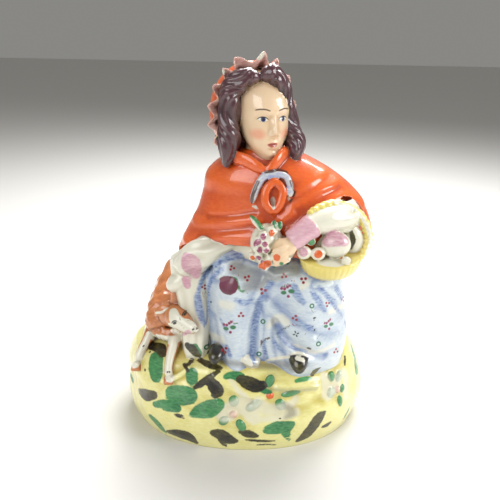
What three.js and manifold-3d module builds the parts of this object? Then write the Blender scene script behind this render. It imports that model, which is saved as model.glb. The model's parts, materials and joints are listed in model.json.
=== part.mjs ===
// A cast and hand-painted earthenware figure: a girl in a hooded cape sits on a mound, with a basket on one arm
// and a dog under the other. It is one casting, so the whole work is one solid. Millimetres, +Z up, the figure
// faces -Y, and the origin is the middle of the underside.

import * as THREE from "three";
import { LoftGeometry } from "three/addons/geometries/LoftGeometry.js";
import { mergeVertices } from "three/addons/utils/BufferGeometryUtils.js";
import Module from "manifold-3d";

const wasm = await Module();
wasm.setup();

// Driving sizes

const MOUND = { height: 64, lumps: 1.3 };
const SKIRT = { bottom: 50, top: 136, square: 3 };
const CAPE = { bottom: 53, top: 194, centre: [14, 3], hemFold: 2.6 };
const HEAD = { centre: [8, -9, 213], turn: 22, nod: 4, chin: -23, crown: 27 };
const HOOD = { centre: [4, -9, 213.7], turn: 15, left: 27.5, right: 21, top: 32, foot: 27, flare: 3.2 };
const BASKET = { centre: [51, -36, 130], halfWidth: 17.5, halfDepth: 12, depth: 13.5, tilt: 24, ribs: 14 };
const FLORETS = [
  // bearing round the mound in degrees, height up its side, size
  [-98, 27.5, 1.15],
  [-72, 40, 1],
  [-34, 40, 1.15],
];
const GLAZE = new THREE.MeshStandardMaterial({ color: 0xd8c9a0, roughness: 0.2, metalness: 0 });

// Curves and sections

const TURN = Math.PI * 2;
const radians = (degrees) => (degrees * Math.PI) / 180;
const mix = (a, b, share) => a + (b - a) * share;
const point = (list) => new THREE.Vector3(...list);

/** A smooth curve through key rows of numbers, each row an equal step along; t runs from 0 to 1. */
function through(keys, t) {
  const last = keys.length - 1;
  const place = Math.min(Math.max(t, 0), 1) * last;
  const i = Math.min(Math.floor(place), last - 1);
  const s = place - i;
  return keys[0].map((_, k) => {
    const [b, c] = [keys[i][k], keys[i + 1][k]];
    const a = i > 0 ? keys[i - 1][k] : 2 * b - c;
    const d = i < last - 1 ? keys[i + 2][k] : 2 * c - b;
    return b + 0.5 * s * (c - a + s * (2 * a - 5 * b + 4 * c - d + s * (3 * (b - c) + d - a)));
  });
}

/** A soft bump of height 1 at 0 that dies away by 1 on either side. */
const bump = (x) => (Math.abs(x) < 1 ? (1 + Math.cos(Math.PI * x)) / 2 : 0);

/** The smallest signed difference between two angles. */
const apart = (a, b) => Math.atan2(Math.sin(a - b), Math.cos(a - b));

/** How far a draped surface stands out at (x, z), each fold being a soft ridge along a path. */
function drape(folds, x, z) {
  const steps = 12;
  return folds.reduce((sum, { path, half, rise }) => {
    const gaps = Array.from({ length: steps + 1 }, (_, i) => {
      const [px, pz] = through(path, i / steps);
      return Math.hypot(x - px, z - pz);
    });
    return sum + rise * bump(Math.min(...gaps) / half);
  }, 0);
}

/** A point of the outline at one level, given by its leftmost, rightmost, front and back places. */
function outline([left, right, front, back], angle, square) {
  const [c, s] = [Math.cos(angle), Math.sin(angle)];
  const reach = (Math.abs(c) ** square + Math.abs(s) ** square) ** (-1 / square);
  const x = (left + right + (right - left) * reach * c) / 2;
  const y = (front + back + (back - front) * reach * s) / 2;
  return [x, y];
}

// Solids

/** A closed three.js geometry as a solid that can be joined and cut. */
function solid(geometry) {
  const bare = new THREE.BufferGeometry().copy(geometry);
  bare.deleteAttribute("normal");
  bare.deleteAttribute("uv");
  const merged = mergeVertices(bare, 1e-4);
  const vertProperties = new Float32Array(merged.attributes.position.array);
  const triVerts = new Uint32Array(merged.index.array);
  return new wasm.Manifold(new wasm.Mesh({ numProp: 3, vertProperties, triVerts }));
}

/** A closed skin over rings of points, from the bottom ring to the top one. */
function skin(rings, around, at) {
  const sections = Array.from({ length: rings + 1 }, (_, i) =>
    Array.from({ length: around }, (_, j) => at((j / around) * TURN, i / rings)),
  );
  return solid(new LoftGeometry(sections, { capStart: true, capEnd: true }));
}

/** A round-ended limb along a spine. Each size is a half width along side and a half thickness across it. */
function limb(spine, sizes, { side = [1, 0, 0], rings = 4, around = 6, ends = [0.12, 0.12] } = {}) {
  const closing = (t, share) => (t < share ? Math.sqrt(Math.max(0.03, 1 - (1 - t / share) ** 2)) : 1);
  return skin(rings, around, (angle, step) => {
    const t = (1 - Math.cos(Math.PI * step)) / 2;
    const tangent = point(through(spine, t + 0.01)).sub(point(through(spine, t - 0.01))).normalize();
    const across = point(side).addScaledVector(tangent, -point(side).dot(tangent)).normalize();
    const up = new THREE.Vector3().crossVectors(tangent, across);
    const [width, thickness] = through(sizes, t);
    const close = closing(t, ends[0]) * closing(1 - t, ends[1]);
    return point(through(spine, t))
      .addScaledVector(across, width * close * Math.cos(angle))
      .addScaledVector(up, thickness * close * Math.sin(angle));
  });
}

/** An egg of the given half sizes, tipped about Y and X and then turned about Z, in degrees. */
function egg(centre, halves, { turn = 0, tip = 0, nod = 0, wide = 6, tall = 4 } = {}) {
  const shape = new THREE.SphereGeometry(1, wide, tall);
  shape.rotateX(Math.PI / 2).scale(...halves);
  shape.rotateX(radians(nod)).rotateY(radians(tip)).rotateZ(radians(turn));
  return solid(shape.translate(...centre));
}

const join = (solids) => wasm.Manifold.union(solids);

// The mound

const MOUND_LEVELS = [
  // leftmost, rightmost, front and back at equal steps from the underside up
  [-80.5, 80.5, -57, 56],
  [-84.5, 84, -59.5, 58.5],
  [-87, 86.5, -60, 59.5],
  [-87.5, 87.5, -59, 60],
  [-87, 86.5, -56, 59.5],
  [-87, 84.5, -53.5, 58],
  [-84, 80, -50, 54],
  [-76, 72, -45, 48],
  [-48, 48, -26, 28],
];
const GROUND_RIDGES = [
  { path: [[-54, 44], [-46, 48], [-38, 53]], half: 4, rise: 2.2 },
  { path: [[-20, 52], [-10, 47], [-1, 42], [13, 39]], half: 5, rise: 2 },
  { path: [[22, 45], [34, 44], [48, 43]], half: 4.5, rise: 2 },
  { path: [[34, 38], [37, 31], [50, 33]], half: 7, rise: -2 },
];

/** A point of the mound's skin: bearing round it, and height as a share of its own. */
function moundPoint(bearing, share) {
  const [x, y] = outline(through(MOUND_LEVELS, share), bearing, 2.12);
  const lumps = MOUND.lumps * (Math.sin(5 * bearing + 0.6) + 0.7 * Math.sin(9 * bearing + 2.2 + 4 * share));
  const soft = Math.sin(Math.PI * share);
  const z = MOUND.height * share;
  const ridges = y < 0 && share > 0.2 ? drape(GROUND_RIDGES, x, z) : 0;
  const reach = Math.hypot(x, y);
  const out = (lumps * soft + ridges - MOUND.lumps * soft) / reach;
  return new THREE.Vector3(x + x * out, y + y * out, z);
}

/** A sprig of raised leaves round a berry, on the mound's side. */
function floret([bearing, height, size]) {
  const angle = radians(bearing);
  const share = height / MOUND.height;
  const reach = Math.hypot(moundPoint(angle, share).x, moundPoint(angle, share).y);
  const leaves = [15, 85, 160, 230, 300].map((way) => {
    const [across, up] = [Math.cos(radians(way)) * 7 * size, Math.sin(radians(way)) * 7 * size];
    const at = moundPoint(angle + across / reach, share + up / MOUND.height);
    return egg(at.toArray(), [4.6 * size, 2.2, 3.1 * size], { turn: bearing + 90, tip: -way, wide: 4, tall: 3 });
  });
  return [...leaves, egg(moundPoint(angle, share).toArray(), [2.4, 2.4, 2.4], { wide: 4, tall: 3 })];
}

function mound() {
  return join([skin(8, 30, moundPoint), ...FLORETS.flatMap(floret)]);
}

// The skirt and the shoes under it

const SKIRT_LEVELS = [
  // leftmost, rightmost, front and back at equal steps from the mound up to the lap
  [-28, 69, -40.5, 34],
  [-28.5, 71, -40, 34],
  [-30, 71, -38.5, 34],
  [-32, 69.5, -37, 34],
  [-33, 67.5, -36.5, 33],
  [-30, 66, -36, 32],
  [-20, 60, -31, 29],
  [2, 44, -12, 14],
];
const SKIRT_FOLDS = [
  { path: [[-7, 133], [-10, 119], [-11, 100], [-10, 80], [-8, 55]], half: 19, rise: 7 }, // left leg
  { path: [[33, 130], [37, 117], [40, 102], [42, 88], [40, 64]], half: 27, rise: 8.5 }, // right leg
  { path: [[-7, 131], [-20, 124], [-27, 112], [-30, 100], [-26, 85]], half: 5, rise: 2.6 },
  { path: [[-16, 119], [-22, 111], [-24, 98], [-24.5, 85]], half: 4.5, rise: -1.6 },
  { path: [[15, 114], [12, 107], [9, 95], [6, 82], [5, 64]], half: 5.5, rise: -2.6 },
  { path: [[9, 104], [17, 118], [27, 125]], half: 6, rise: 2.4 },
  { path: [[12, 100], [20, 93], [28, 86], [40, 79], [57, 73], [69, 70]], half: 6.5, rise: 2.4 },
  { path: [[19, 88], [26, 78], [37, 71], [52, 64]], half: 4.5, rise: -2.4 },
  { path: [[16, 88], [15, 77], [17, 62]], half: 4, rise: 2 },
  { path: [[43, 115], [54, 103], [65, 86]], half: 5, rise: -2 },
];

function skirt() {
  return skin(8, 38, (angle, share) => {
    const z = mix(SKIRT.bottom, SKIRT.top, share);
    const [x, y] = outline(through(SKIRT_LEVELS, share), angle, SKIRT.square);
    const facing = Math.max(0, -Math.sin(angle)) ** 0.5;
    const flare = 1 + 0.03 * Math.cos(9 * angle) * bump(share / 0.35);
    return new THREE.Vector3(x, y * flare - facing * drape(SKIRT_FOLDS, x, z), z);
  });
}

/** The thighs that lie forward under the skirt and end at the knees. */
function thighs() {
  const shape = { rings: 5, around: 8 };
  const left = [[8, 6, 126], [-4, -12, 126], [-10, -26, 123], [-12, -33, 112]];
  const right = [[34, 6, 122], [36, -14, 120], [38, -28, 117], [39, -33, 108]];
  return join([
    limb(left, [[11, 9], [12, 10], [12, 10], [12, 9]], shape),
    limb(right, [[14, 10], [17, 11], [18, 11], [17, 9]], shape),
  ]);
}

function shoes() {
  const shape = { rings: 4, around: 7, ends: [0.1, 0.4] };
  const right = limb([[34, -38, 66], [35, -47, 64], [35, -54, 59]], [[6.5, 5], [6, 4.6], [4.4, 3]], shape);
  const left = limb([[-17, -34, 66], [-19, -43, 65], [-20, -48, 61]], [[6, 4], [5, 4], [3.5, 3]], shape);
  return join([right, left]);
}

// The cape

const CAPE_LEVELS = [
  // leftmost, rightmost, front and back at equal steps from the bottom of the back up to the neck
  [-49, 72, -31, 48],
  [-49, 73, -31, 48],
  [-49, 74, -32, 47],
  [-49, 76, -33, 46],
  [-49, 80, -34, 45],
  [-47, 85, -35, 43],
  [-40.5, 84.5, -35, 41],
  [-33.5, 80, -33.5, 38],
  [-29, 71, -31, 33],
  [-25, 53, -28, 26],
  [-6, 26, -20, 14],
];
const CAPE_FOLDS = [
  { path: [[22, 156], [34, 165], [47, 172], [62, 177]], half: 6, rise: 2.2 },
  { path: [[24, 149], [38, 159], [50, 166], [62, 167], [76, 160]], half: 5, rise: 2.2 },
  { path: [[30, 162], [42, 169], [56, 172]], half: 4, rise: -1.6 },
  { path: [[-34, 146], [-14, 151], [6, 155]], half: 5, rise: 1.6 },
  { path: [[-40, 132], [-20, 141], [4, 144]], half: 5, rise: 1.8 },
  { path: [[-22, 182], [-34, 158], [-44, 134]], half: 7, rise: 1.6 },
];
const HEM = [[126], [92], [60], [56], [60], [108], [127], [136], [136], [126], [124], [126]];
const ARCH = { bearing: -40, halfSpan: 38, top: 167 }; // where the hem lifts over the arm and basket

/** The height of the cape's hem at a bearing round its centre. */
function hemHeight(angle) {
  const lift = bump(apart(angle, radians(ARCH.bearing)) / radians(ARCH.halfSpan)) ** 0.5;
  return mix(through(HEM, angle / TURN)[0], ARCH.top, lift);
}

/** The cape's outer form at a bearing and height, with folds down the back that deepen to its hem. */
function capePoint(angle, z) {
  const share = (z - CAPE.bottom) / (CAPE.top - CAPE.bottom);
  const [x, y] = outline(through(CAPE_LEVELS, share), angle, 2.15);
  const behind = Math.max(0, Math.sin(angle)) * CAPE.hemFold * (1 - share) * Math.cos(11 * angle);
  const before = Math.max(0, -Math.sin(angle)) ** 0.5 * drape(CAPE_FOLDS, x, z);
  const out = behind + before - CAPE.hemFold * (1 - share) * Math.max(0, Math.sin(angle));
  return new THREE.Vector3(x + out * Math.cos(angle), y + out * Math.sin(angle), z);
}

const CAPE_UNDERSIDE = [
  // share of the way out from the cape's middle, and of the way down to its lowest level
  [0.05, 1],
  [0.6, 0.3],
  [0.93, -0.02],
];

function cape() {
  const under = CAPE_UNDERSIDE.length;
  const over = 7;
  const [middleX, middleY] = CAPE.centre;
  return skin(under + over, 32, (angle, step) => {
    const ring = Math.round(step * (under + over));
    const edge = hemHeight(angle);
    if (ring >= under) return capePoint(angle, mix(edge, CAPE.top, (ring - under) / over));
    const [out, down] = CAPE_UNDERSIDE[ring];
    const rim = capePoint(angle, edge);
    return new THREE.Vector3(mix(middleX, rim.x, out), mix(middleY, rim.y, out), mix(edge, CAPE.bottom, down));
  });
}

/** The body under the cape, which the arms and the hem rest on. */
function bodice() {
  const levels = [
    [-34, 66, -29, 34],
    [-30, 66, -31, 34],
    [-24, 62, -30, 30],
    [-12, 44, -24, 20],
  ];
  return skin(3, 20, (angle, share) => {
    const [x, y] = outline(through(levels, share), angle, 2.2);
    return new THREE.Vector3(x, y, mix(112, 178, share));
  });
}

/** The cape's two stiff collar points, either side of the chin. */
function collar() {
  const shape = { side: [0, 0, 1], rings: 4, around: 6, ends: [0.2, 0.2] };
  const left = limb([[-8, -17, 188], [-4, -24, 190], [5, -29, 187], [12, -29, 183]], [[4, 3], [5, 3], [4, 3], [3, 2.5]], shape);
  const right = limb([[26, -15, 189], [21, -23, 191], [15, -28, 187], [11, -29, 183]], [[4, 3], [5, 3], [4, 3], [3, 2.5]], shape);
  return join([left, right]);
}

/** The ribbon tied at the neck: an arched band over a small loop. */
function bow() {
  const band = [[4, -33, 165], [6, -32, 174], [12, -29, 181], [19, -29, 180], [24, -31, 175], [26.5, -32, 169]];
  return join([
    limb(band, [[2.6, 2.6], [2.6, 2.8], [3.4, 3], [3.4, 3], [2.6, 2.8], [2.6, 2.6]], { side: [0, 1, 0], rings: 8 }),
    egg([15, -32, 169], [4.5, 3.5, 7.5]),
  ]);
}

// The head, its hair and the hood

/** Moves a point of the head's own frame, forward -Y, into place. */
function inHead(list) {
  return point(list)
    .applyAxisAngle(new THREE.Vector3(1, 0, 0), radians(HEAD.nod))
    .applyAxisAngle(new THREE.Vector3(0, 0, 1), radians(HEAD.turn))
    .add(point(HEAD.centre));
}

const HEAD_LEVELS = [
  // half width, forward and backward reach at equal steps from the chin up to the crown
  [4, 14.5, -8],
  [9.5, 17.2, 3],
  [12.8, 17.8, 11],
  [14.6, 18, 16],
  [15.6, 18.2, 19],
  [15.8, 17.8, 20],
  [15, 15.8, 19],
  [11.5, 10.5, 14],
  [4, 3, 5],
];
const FEATURES = [
  // height above the head's centre, place to the side, reach, spread to the side and in height
  [-4.5, 0, 4.2, 2.6, 3.4], // tip of the nose
  [1, 0, 2.2, 2.2, 6], // bridge
  [-11.5, 0, 1.3, 4, 2.2], // lips
  [-19, 0, 1.6, 5, 3.6], // chin
  [8, 0, 0.7, 11, 5], // brow
  [-6.5, 7.5, 1, 4.5, 5], // cheeks, on both sides
  [3.5, 6, -1.5, 3.4, 2.6], // eye sockets, on both sides
];

/** How far the face stands forward of the plain head at a place to the side and a height. */
function relief(x, z) {
  return FEATURES.reduce((sum, [height, offset, reach, wide, tall]) => {
    const across = (Math.abs(x) - offset) / wide;
    const along = (z - height) / tall;
    return sum + reach * Math.exp(-across * across - along * along);
  }, 0);
}

function head() {
  return skin(11, 16, (angle, share) => {
    const [half, forward, backward] = through(HEAD_LEVELS, share);
    const [x, y] = outline([-half, half, -forward, backward], angle, 2.1);
    const z = mix(HEAD.chin, HEAD.crown, share);
    const facing = Math.max(0, -Math.sin(angle)) ** 0.5;
    return inHead([x, y - relief(x, z) * facing, z]);
  });
}

function neck() {
  const spine = [[9, -5, 180], [9, -8, 192], [8, -8, 202]];
  return limb(spine, [[13, 13], [11, 11], [10, 10]], { rings: 2, around: 8 });
}

const LOCKS = [
  // the parted hair over the brow, and the long lock it runs down into, on each side
  {
    spine: [[7, -19, 239], [-5, -20, 238], [-12, -19, 227], [-13, -18, 213], [-12.5, -19, 200], [-13.5, -22, 184]],
    sizes: [[3, 4], [6, 6], [7.5, 8], [7.5, 8], [7, 8], [3, 3]],
  },
  {
    spine: [[-2, -8, 236], [-14, -9, 230], [-17.5, -10, 214], [-16, -12, 198], [-14, -16, 186]],
    sizes: [[4, 5], [6, 7], [5, 8], [5, 7], [4, 4]],
  },
  {
    spine: [[6, -19, 239], [14, -16, 240], [21.8, -12.4, 229], [24, -10, 218], [27, -10, 206], [29, -13, 196], [26, -17, 187]],
    sizes: [[3, 4], [5.5, 6], [5, 7], [4.5, 7], [6, 7], [6.5, 7], [4, 4]],
  },
];

function hair() {
  const cap = egg([6, -1, 219], [19.5, 20, 23], { wide: 8, tall: 5 });
  const locks = LOCKS.map(({ spine, sizes }) => limb(spine, sizes, { rings: 8, around: 6, ends: [0.1, 0.14] }));
  return join([cap, ...locks]);
}

const FRILL_TIPS = [10, 38, 65, 89, 116, 137, 156, 176, 196, 216, 245, 300, 370]; // bearings round the mouth
const HOOD_RINGS = [
  // how far back each ring lies, its share of the full size, and how much of the frill's wave it has
  [-4, 1.09, 1],
  [-1, 1.01, 0.7],
  [3, 0.93, 0.2],
  [13, 0.97, 0],
  [23, 0.88, 0],
  [31, 0.62, 0],
  [35, 0.1, 0],
];
const HOOD_INSIDE = [
  // share of the wall's size and distance back from the frill, from the middle of the cup out to its lip
  [0.05, 8],
  [0.64, 11],
  [0.8, 6],
];

/** The frill's wave at a bearing round the hood's mouth, 1 at each tip and -1 at each dip. */
function frillWave(angle) {
  const start = radians(FRILL_TIPS[0]);
  const bearing = (((angle - start) % TURN) + TURN) % TURN;
  const tips = FRILL_TIPS.map((tip) => radians(tip) - start);
  const i = tips.findIndex((tip, k) => k < tips.length - 1 && bearing < tips[k + 1]);
  return Math.cos((TURN * (bearing - tips[i])) / (tips[i + 1] - tips[i]));
}

/** The hood is a cup that opens forward, with a waved frill round its mouth. */
function hood() {
  const inside = HOOD_INSIDE.length;
  const outside = 4;
  return skin(inside + outside, 46, (angle, step) => {
    const ring = Math.round(step * (inside + outside));
    const within = ring < inside;
    const [back, size, wave] = through(HOOD_RINGS, within ? 0 : (ring - inside) / outside);
    const [wall, depth] = within ? HOOD_INSIDE[ring] : [1, 0];
    const ripple = wave * frillWave(Math.PI - angle) * (within ? wall ** 2 : 1);
    const tall = Math.sin(angle) > 0 ? HOOD.top : HOOD.foot;
    const wide = Math.cos(angle) > 0 ? HOOD.left : HOOD.right;
    const across = (wide * size + HOOD.flare * ripple) * wall * -Math.cos(angle);
    const up = (tall * size + HOOD.flare * ripple) * wall * Math.sin(angle);
    return new THREE.Vector3(across, back + depth + 1.2 * ripple, up)
      .applyAxisAngle(new THREE.Vector3(0, 0, 1), radians(HOOD.turn))
      .add(point(HOOD.centre));
  });
}

// The arms, the posy and the basket

function rightSleeve() {
  const upper = limb(
    [[66, -10, 152], [58, -26, 155], [48, -36, 153], [38, -41, 150], [27, -44, 146]],
    [[10, 9], [9, 9], [8.4, 8], [7.8, 7.4], [7.6, 7]],
    { side: [0, 0, 1], rings: 6, around: 8, ends: [0.1, 0.06] },
  );
  const palm = egg([22, -45, 142], [8, 5, 5.5], { turn: -20, tip: 12, wide: 8 });
  const fingers = [0, 1, 2, 3].map((i) =>
    limb(
      [[23, -47, 145.5 - 2.8 * i], [17, -50, 143.5 - 2.6 * i], [12.5, -49.5, 141 - 2.2 * i]],
      [[1.8, 1.9], [1.8, 1.9], [1.5, 1.6]],
      { side: [0, 0, 1], rings: 3, around: 5, ends: [0.15, 0.2] },
    ),
  );
  return join([upper, palm, ...fingers]);
}

function leftSleeve() {
  const sleeve = limb(
    [[2, -14, 137], [-14, -21, 133], [-28, -26, 127], [-38, -27, 119], [-43, -27, 111]],
    [[7, 7], [9, 9], [12, 11], [12, 11], [8, 9]],
    { side: [0, 0, 1], rings: 7, around: 9 },
  );
  const cuff = egg([-45, -28, 109.5], [8, 7.5, 6], { tip: 14, wide: 8 });
  return join([sleeve, cuff]);
}

/** The cape's pale lining, which hangs from the arm down to the mound beside the dog. */
function lining() {
  const spine = [[-38, -8, 124], [-38, -17, 106], [-36, -23, 84], [-34, -28, 52]];
  return limb(spine, [[15, 14], [15, 14], [12, 14], [11, 14]], { rings: 5, around: 9 });
}

const BLOOMS = [
  [10.5, -47, 144.5, 6.5],
  [15, -43, 151, 4.4],
  [18, -51, 138, 3],
  [10.5, -49, 133.5, 5],
  [3.5, -43, 139.5, 4],
  [5, -42, 147.5, 4.5],
  [13, -50, 139.5, 4],
];
const LEAVES = [
  // root, tip, half width
  [[9, -43, 150.5], [1, -38, 158], 2.2],
  [[15.5, -43, 152], [16.5, -39, 157.5], 2],
  [[18, -43, 151.5], [21, -39, 156], 2],
  [[13, -46, 133], [21, -45, 132], 2.4],
];

function posy() {
  const blooms = BLOOMS.map(([x, y, z, size]) => egg([x, y, z], [size, size * 0.75, size], { wide: 5, tall: 4 }));
  const leaves = LEAVES.map(([root, tip, half]) =>
    limb([root, root.map((v, i) => (v + tip[i]) / 2), tip], [[half * 0.7, 1.6], [half, 2], [half * 0.5, 1.4]], {
      rings: 3,
      around: 5,
      ends: [0.2, 0.25],
    }),
  );
  const backing = egg([14, -38, 141], [14, 9, 9.5]);
  return join([...blooms, ...leaves, backing]);
}

/** The ribbed bowl of the basket, tilted to show what it holds. */
function bowl() {
  const tilt = new THREE.Vector3(1, 0, 0);
  return skin(3, 28, (angle, share) => {
    const flare = through([[0.5], [0.8], [0.93], [1], [1.03]], share)[0];
    const weave = 1 + 0.03 * Math.cos(BASKET.ribs * angle) * Math.min(1, share * 3);
    const x = BASKET.halfWidth * flare * weave * Math.cos(angle);
    const y = BASKET.halfDepth * flare * weave * Math.sin(angle);
    const z = BASKET.depth * (share - 1);
    return new THREE.Vector3(x, y, z).applyAxisAngle(tilt, radians(BASKET.tilt)).add(point(BASKET.centre));
  });
}

function basket() {
  const handle = limb(
    [
      [67, -33, 126],
      [73.5, -29, 134],
      [77, -26, 143],
      [73, -26, 152],
      [66, -27, 160],
      [55, -29, 165],
      [44, -33, 163],
      [36, -36, 156],
    ],
    [[3.6, 3], [3.8, 3.2], [4, 3.2], [3.8, 3.2], [3.8, 3.2], [3.8, 3.2], [3.6, 3], [3, 2.6]],
    { side: [0, -1, 0.3], rings: 11, around: 6, ends: [0.04, 0.04] },
  );
  const contents = [
    [51, -37, 128, 16, 5],
    [55, -38, 138.5, 9.5, 8],
    [34.5, -42, 137.5, 5, 4.6],
    [43.5, -41, 136, 5.2, 5.2],
    [62, -42, 131, 4, 3.6],
    [38.5, -42, 145, 3.4, 3.2],
    [65, -30, 138, 7, 11],
  ].map(([x, y, z, wide, tall]) => egg([x, y, z], [wide, wide * 0.7, tall]));
  return join([bowl(), handle, ...contents]);
}

// The dog

function dog() {
  const shape = { rings: 5, around: 9, ends: [0.14, 0.14] };
  const trunk = limb(
    [[-42, 40, 95], [-48, 27, 93], [-55, 11, 81], [-58, -5, 73], [-57, -16, 70]],
    [[11, 13], [13, 15], [13, 15], [12.5, 12.5], [10, 8]],
    shape,
  );
  const ground = limb(
    [[-44, 40, 78], [-50, 24, 70], [-57, 6, 58], [-60, -12, 48]],
    [[13, 14], [16, 15], [17, 14], [14, 12]],
    shape,
  );
  const ruff = limb([[-58, -8, 78], [-54, -18, 80], [-51, -24, 82]], [[12, 11], [11.5, 11], [10.5, 10.5]], shape);
  const muzzle = limb(
    [[-52, -22, 89], [-47, -29, 88], [-40, -35, 85.5], [-34, -40, 83.5], [-30.5, -44, 82]],
    [[8.5, 7.5], [9, 8.5], [6.6, 6.6], [4.4, 4.4], [3.4, 3.2]],
    { rings: 6, around: 8, ends: [0.16, 0.1] },
  );
  const ears = [
    limb([[-46, -28, 93], [-46, -28, 101], [-46, -27, 106]], [[4.4, 3.4], [4, 3], [2.6, 2]]),
    limb([[-52, -26, 92], [-57, -26, 89], [-61, -25, 85.5]], [[3.2, 3.2], [3, 3], [1.6, 1.8]], { side: [0, 1, 0] }),
  ];
  const legs = [
    [[-66, -10, 66], [-71, -16, 54], [-74, -22, 42]],
    [[-47, -24, 68], [-48, -32, 58], [-50, -39, 46]],
    [[-58, 34, 84], [-66, 36, 66], [-70, 38, 54]],
  ].map((spine, i) => limb(spine, i < 2 ? [[5, 5], [4, 4], [3.4, 3.6]] : [[10, 14], [8, 11], [5, 8]]));
  const paws = [
    [-74.5, -25, 41],
    [-50, -43, 45],
  ].map((at) => egg(at, [4, 5, 3.2], { wide: 6, tall: 4 }));
  return join([trunk, ground, ruff, muzzle, ...ears, ...legs, ...paws]);
}

// The whole casting

/** The triangles of a joined solid's outer skin, without the pockets that its parts seal in between them. */
function outerSkin({ vertProperties, triVerts }) {
  const root = Array.from({ length: vertProperties.length / 3 }, (_, i) => i);
  const find = (i) => {
    while (root[i] !== i) {
      root[i] = root[root[i]];
      i = root[i];
    }
    return i;
  };
  for (let i = 0; i < triVerts.length; i += 3) {
    root[find(triVerts[i + 1])] = find(triVerts[i]);
    root[find(triVerts[i + 2])] = find(triVerts[i]);
  }
  let lowest = 0;
  for (let i = 0; i * 3 < vertProperties.length; i++) {
    if (vertProperties[i * 3 + 2] < vertProperties[lowest * 3 + 2]) lowest = i;
  }
  const outer = [];
  for (let i = 0; i < triVerts.length; i += 3) {
    if (find(triVerts[i]) === find(lowest)) outer.push(triVerts[i], triVerts[i + 1], triVerts[i + 2]);
  }
  return outer;
}

function figure() {
  const cast = join([
    mound(),
    skirt(),
    thighs(),
    shoes(),
    cape(),
    bodice(),
    collar(),
    bow(),
    neck(),
    head(),
    hair(),
    hood(),
    rightSleeve(),
    leftSleeve(),
    lining(),
    posy(),
    basket(),
    dog(),
  ]).getMesh();
  const geometry = new THREE.BufferGeometry();
  geometry.setAttribute("position", new THREE.BufferAttribute(new Float32Array(cast.vertProperties), 3));
  geometry.setIndex(outerSkin(cast));
  geometry.computeBoundingBox();
  const middle = geometry.boundingBox.getCenter(new THREE.Vector3());
  geometry.translate(-middle.x, -middle.y, -geometry.boundingBox.min.z);
  geometry.computeVertexNormals();
  const mesh = new THREE.Mesh(geometry, GLAZE);
  mesh.name = "figure";
  return mesh;
}

const part = new THREE.Group();
part.add(figure());

export default part;
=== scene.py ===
"""A glazed earthenware figure: a girl in a hooded cape sits on a mound, with a basket on one arm and a dog
under the other. It is one casting, so it is one piece: its forms are modelled as closed skins, made one solid by
a remesh as slip makes them one, softened as glaze softens them, and then painted and glazed.
"""

import json
import math

import bpy
import numpy as np
from bpy.props import FloatProperty, FloatVectorProperty, IntProperty, PointerProperty
from mathutils import Matrix, Vector
from mathutils.bvhtree import BVHTree

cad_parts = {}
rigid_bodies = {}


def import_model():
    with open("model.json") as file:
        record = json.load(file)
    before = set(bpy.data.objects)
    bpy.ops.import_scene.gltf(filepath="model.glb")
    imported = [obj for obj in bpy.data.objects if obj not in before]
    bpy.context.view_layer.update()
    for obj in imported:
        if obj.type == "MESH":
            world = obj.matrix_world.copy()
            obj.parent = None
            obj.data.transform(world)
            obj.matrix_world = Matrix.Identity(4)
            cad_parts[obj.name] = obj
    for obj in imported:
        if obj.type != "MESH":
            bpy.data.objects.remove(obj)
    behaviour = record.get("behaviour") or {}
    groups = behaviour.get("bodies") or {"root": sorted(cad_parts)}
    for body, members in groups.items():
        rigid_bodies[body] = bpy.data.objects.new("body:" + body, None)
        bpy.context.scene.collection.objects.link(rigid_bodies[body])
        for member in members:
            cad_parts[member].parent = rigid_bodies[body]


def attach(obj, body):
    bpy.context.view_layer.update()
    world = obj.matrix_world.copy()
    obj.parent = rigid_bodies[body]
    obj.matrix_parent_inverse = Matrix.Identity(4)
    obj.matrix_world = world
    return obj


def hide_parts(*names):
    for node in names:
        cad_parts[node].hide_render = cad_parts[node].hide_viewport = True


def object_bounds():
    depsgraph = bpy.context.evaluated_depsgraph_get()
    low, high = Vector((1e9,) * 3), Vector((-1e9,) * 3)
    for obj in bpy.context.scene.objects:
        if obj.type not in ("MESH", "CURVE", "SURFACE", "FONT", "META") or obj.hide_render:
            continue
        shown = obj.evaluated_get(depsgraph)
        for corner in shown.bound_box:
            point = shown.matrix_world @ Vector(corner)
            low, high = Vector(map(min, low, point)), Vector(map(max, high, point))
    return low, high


for thing in list(bpy.data.objects):
    bpy.data.objects.remove(thing)
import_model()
SOLID_BOX = [list(corner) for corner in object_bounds()]

bl_info = {
    "name": "Painted Figure",
    "version": (1, 0, 0),
    "blender": (4, 5, 0),
    "location": "3D View > Sidebar > Figure",
    "description": "Models, paints and glazes a seated earthenware figure",
    "category": "Object",
}

# Driving sizes, in millimetres and degrees, as the solid model has them

MOUND = dict(height=64, lumps=1.3)
SKIRT = dict(bottom=50, top=136, square=3)
CAPE = dict(bottom=53, top=194, centre=(14, 3), hem_fold=2.6)
HEAD = dict(centre=(8, -9, 213), turn=22, nod=4, chin=-23, crown=27)
HOOD = dict(centre=(4, -9, 213.7), turn=15, left=26.8, right=21.6, top=32.2, foot=27, flare=(1.9, 3.2))
BASKET = dict(centre=(52, -36.5, 133.5), half_width=18.4, half_depth=12.4, depth=14.5, tilt=13, ribs=16)
EYE = dict(place=(2.0, -354.7, 265.3), down=22, roll=1.1, lens=40.32)  # the camera; its lens is for a 36 mm film
MM = 0.001
TURN = 2 * math.pi

# Curves and sections


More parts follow.
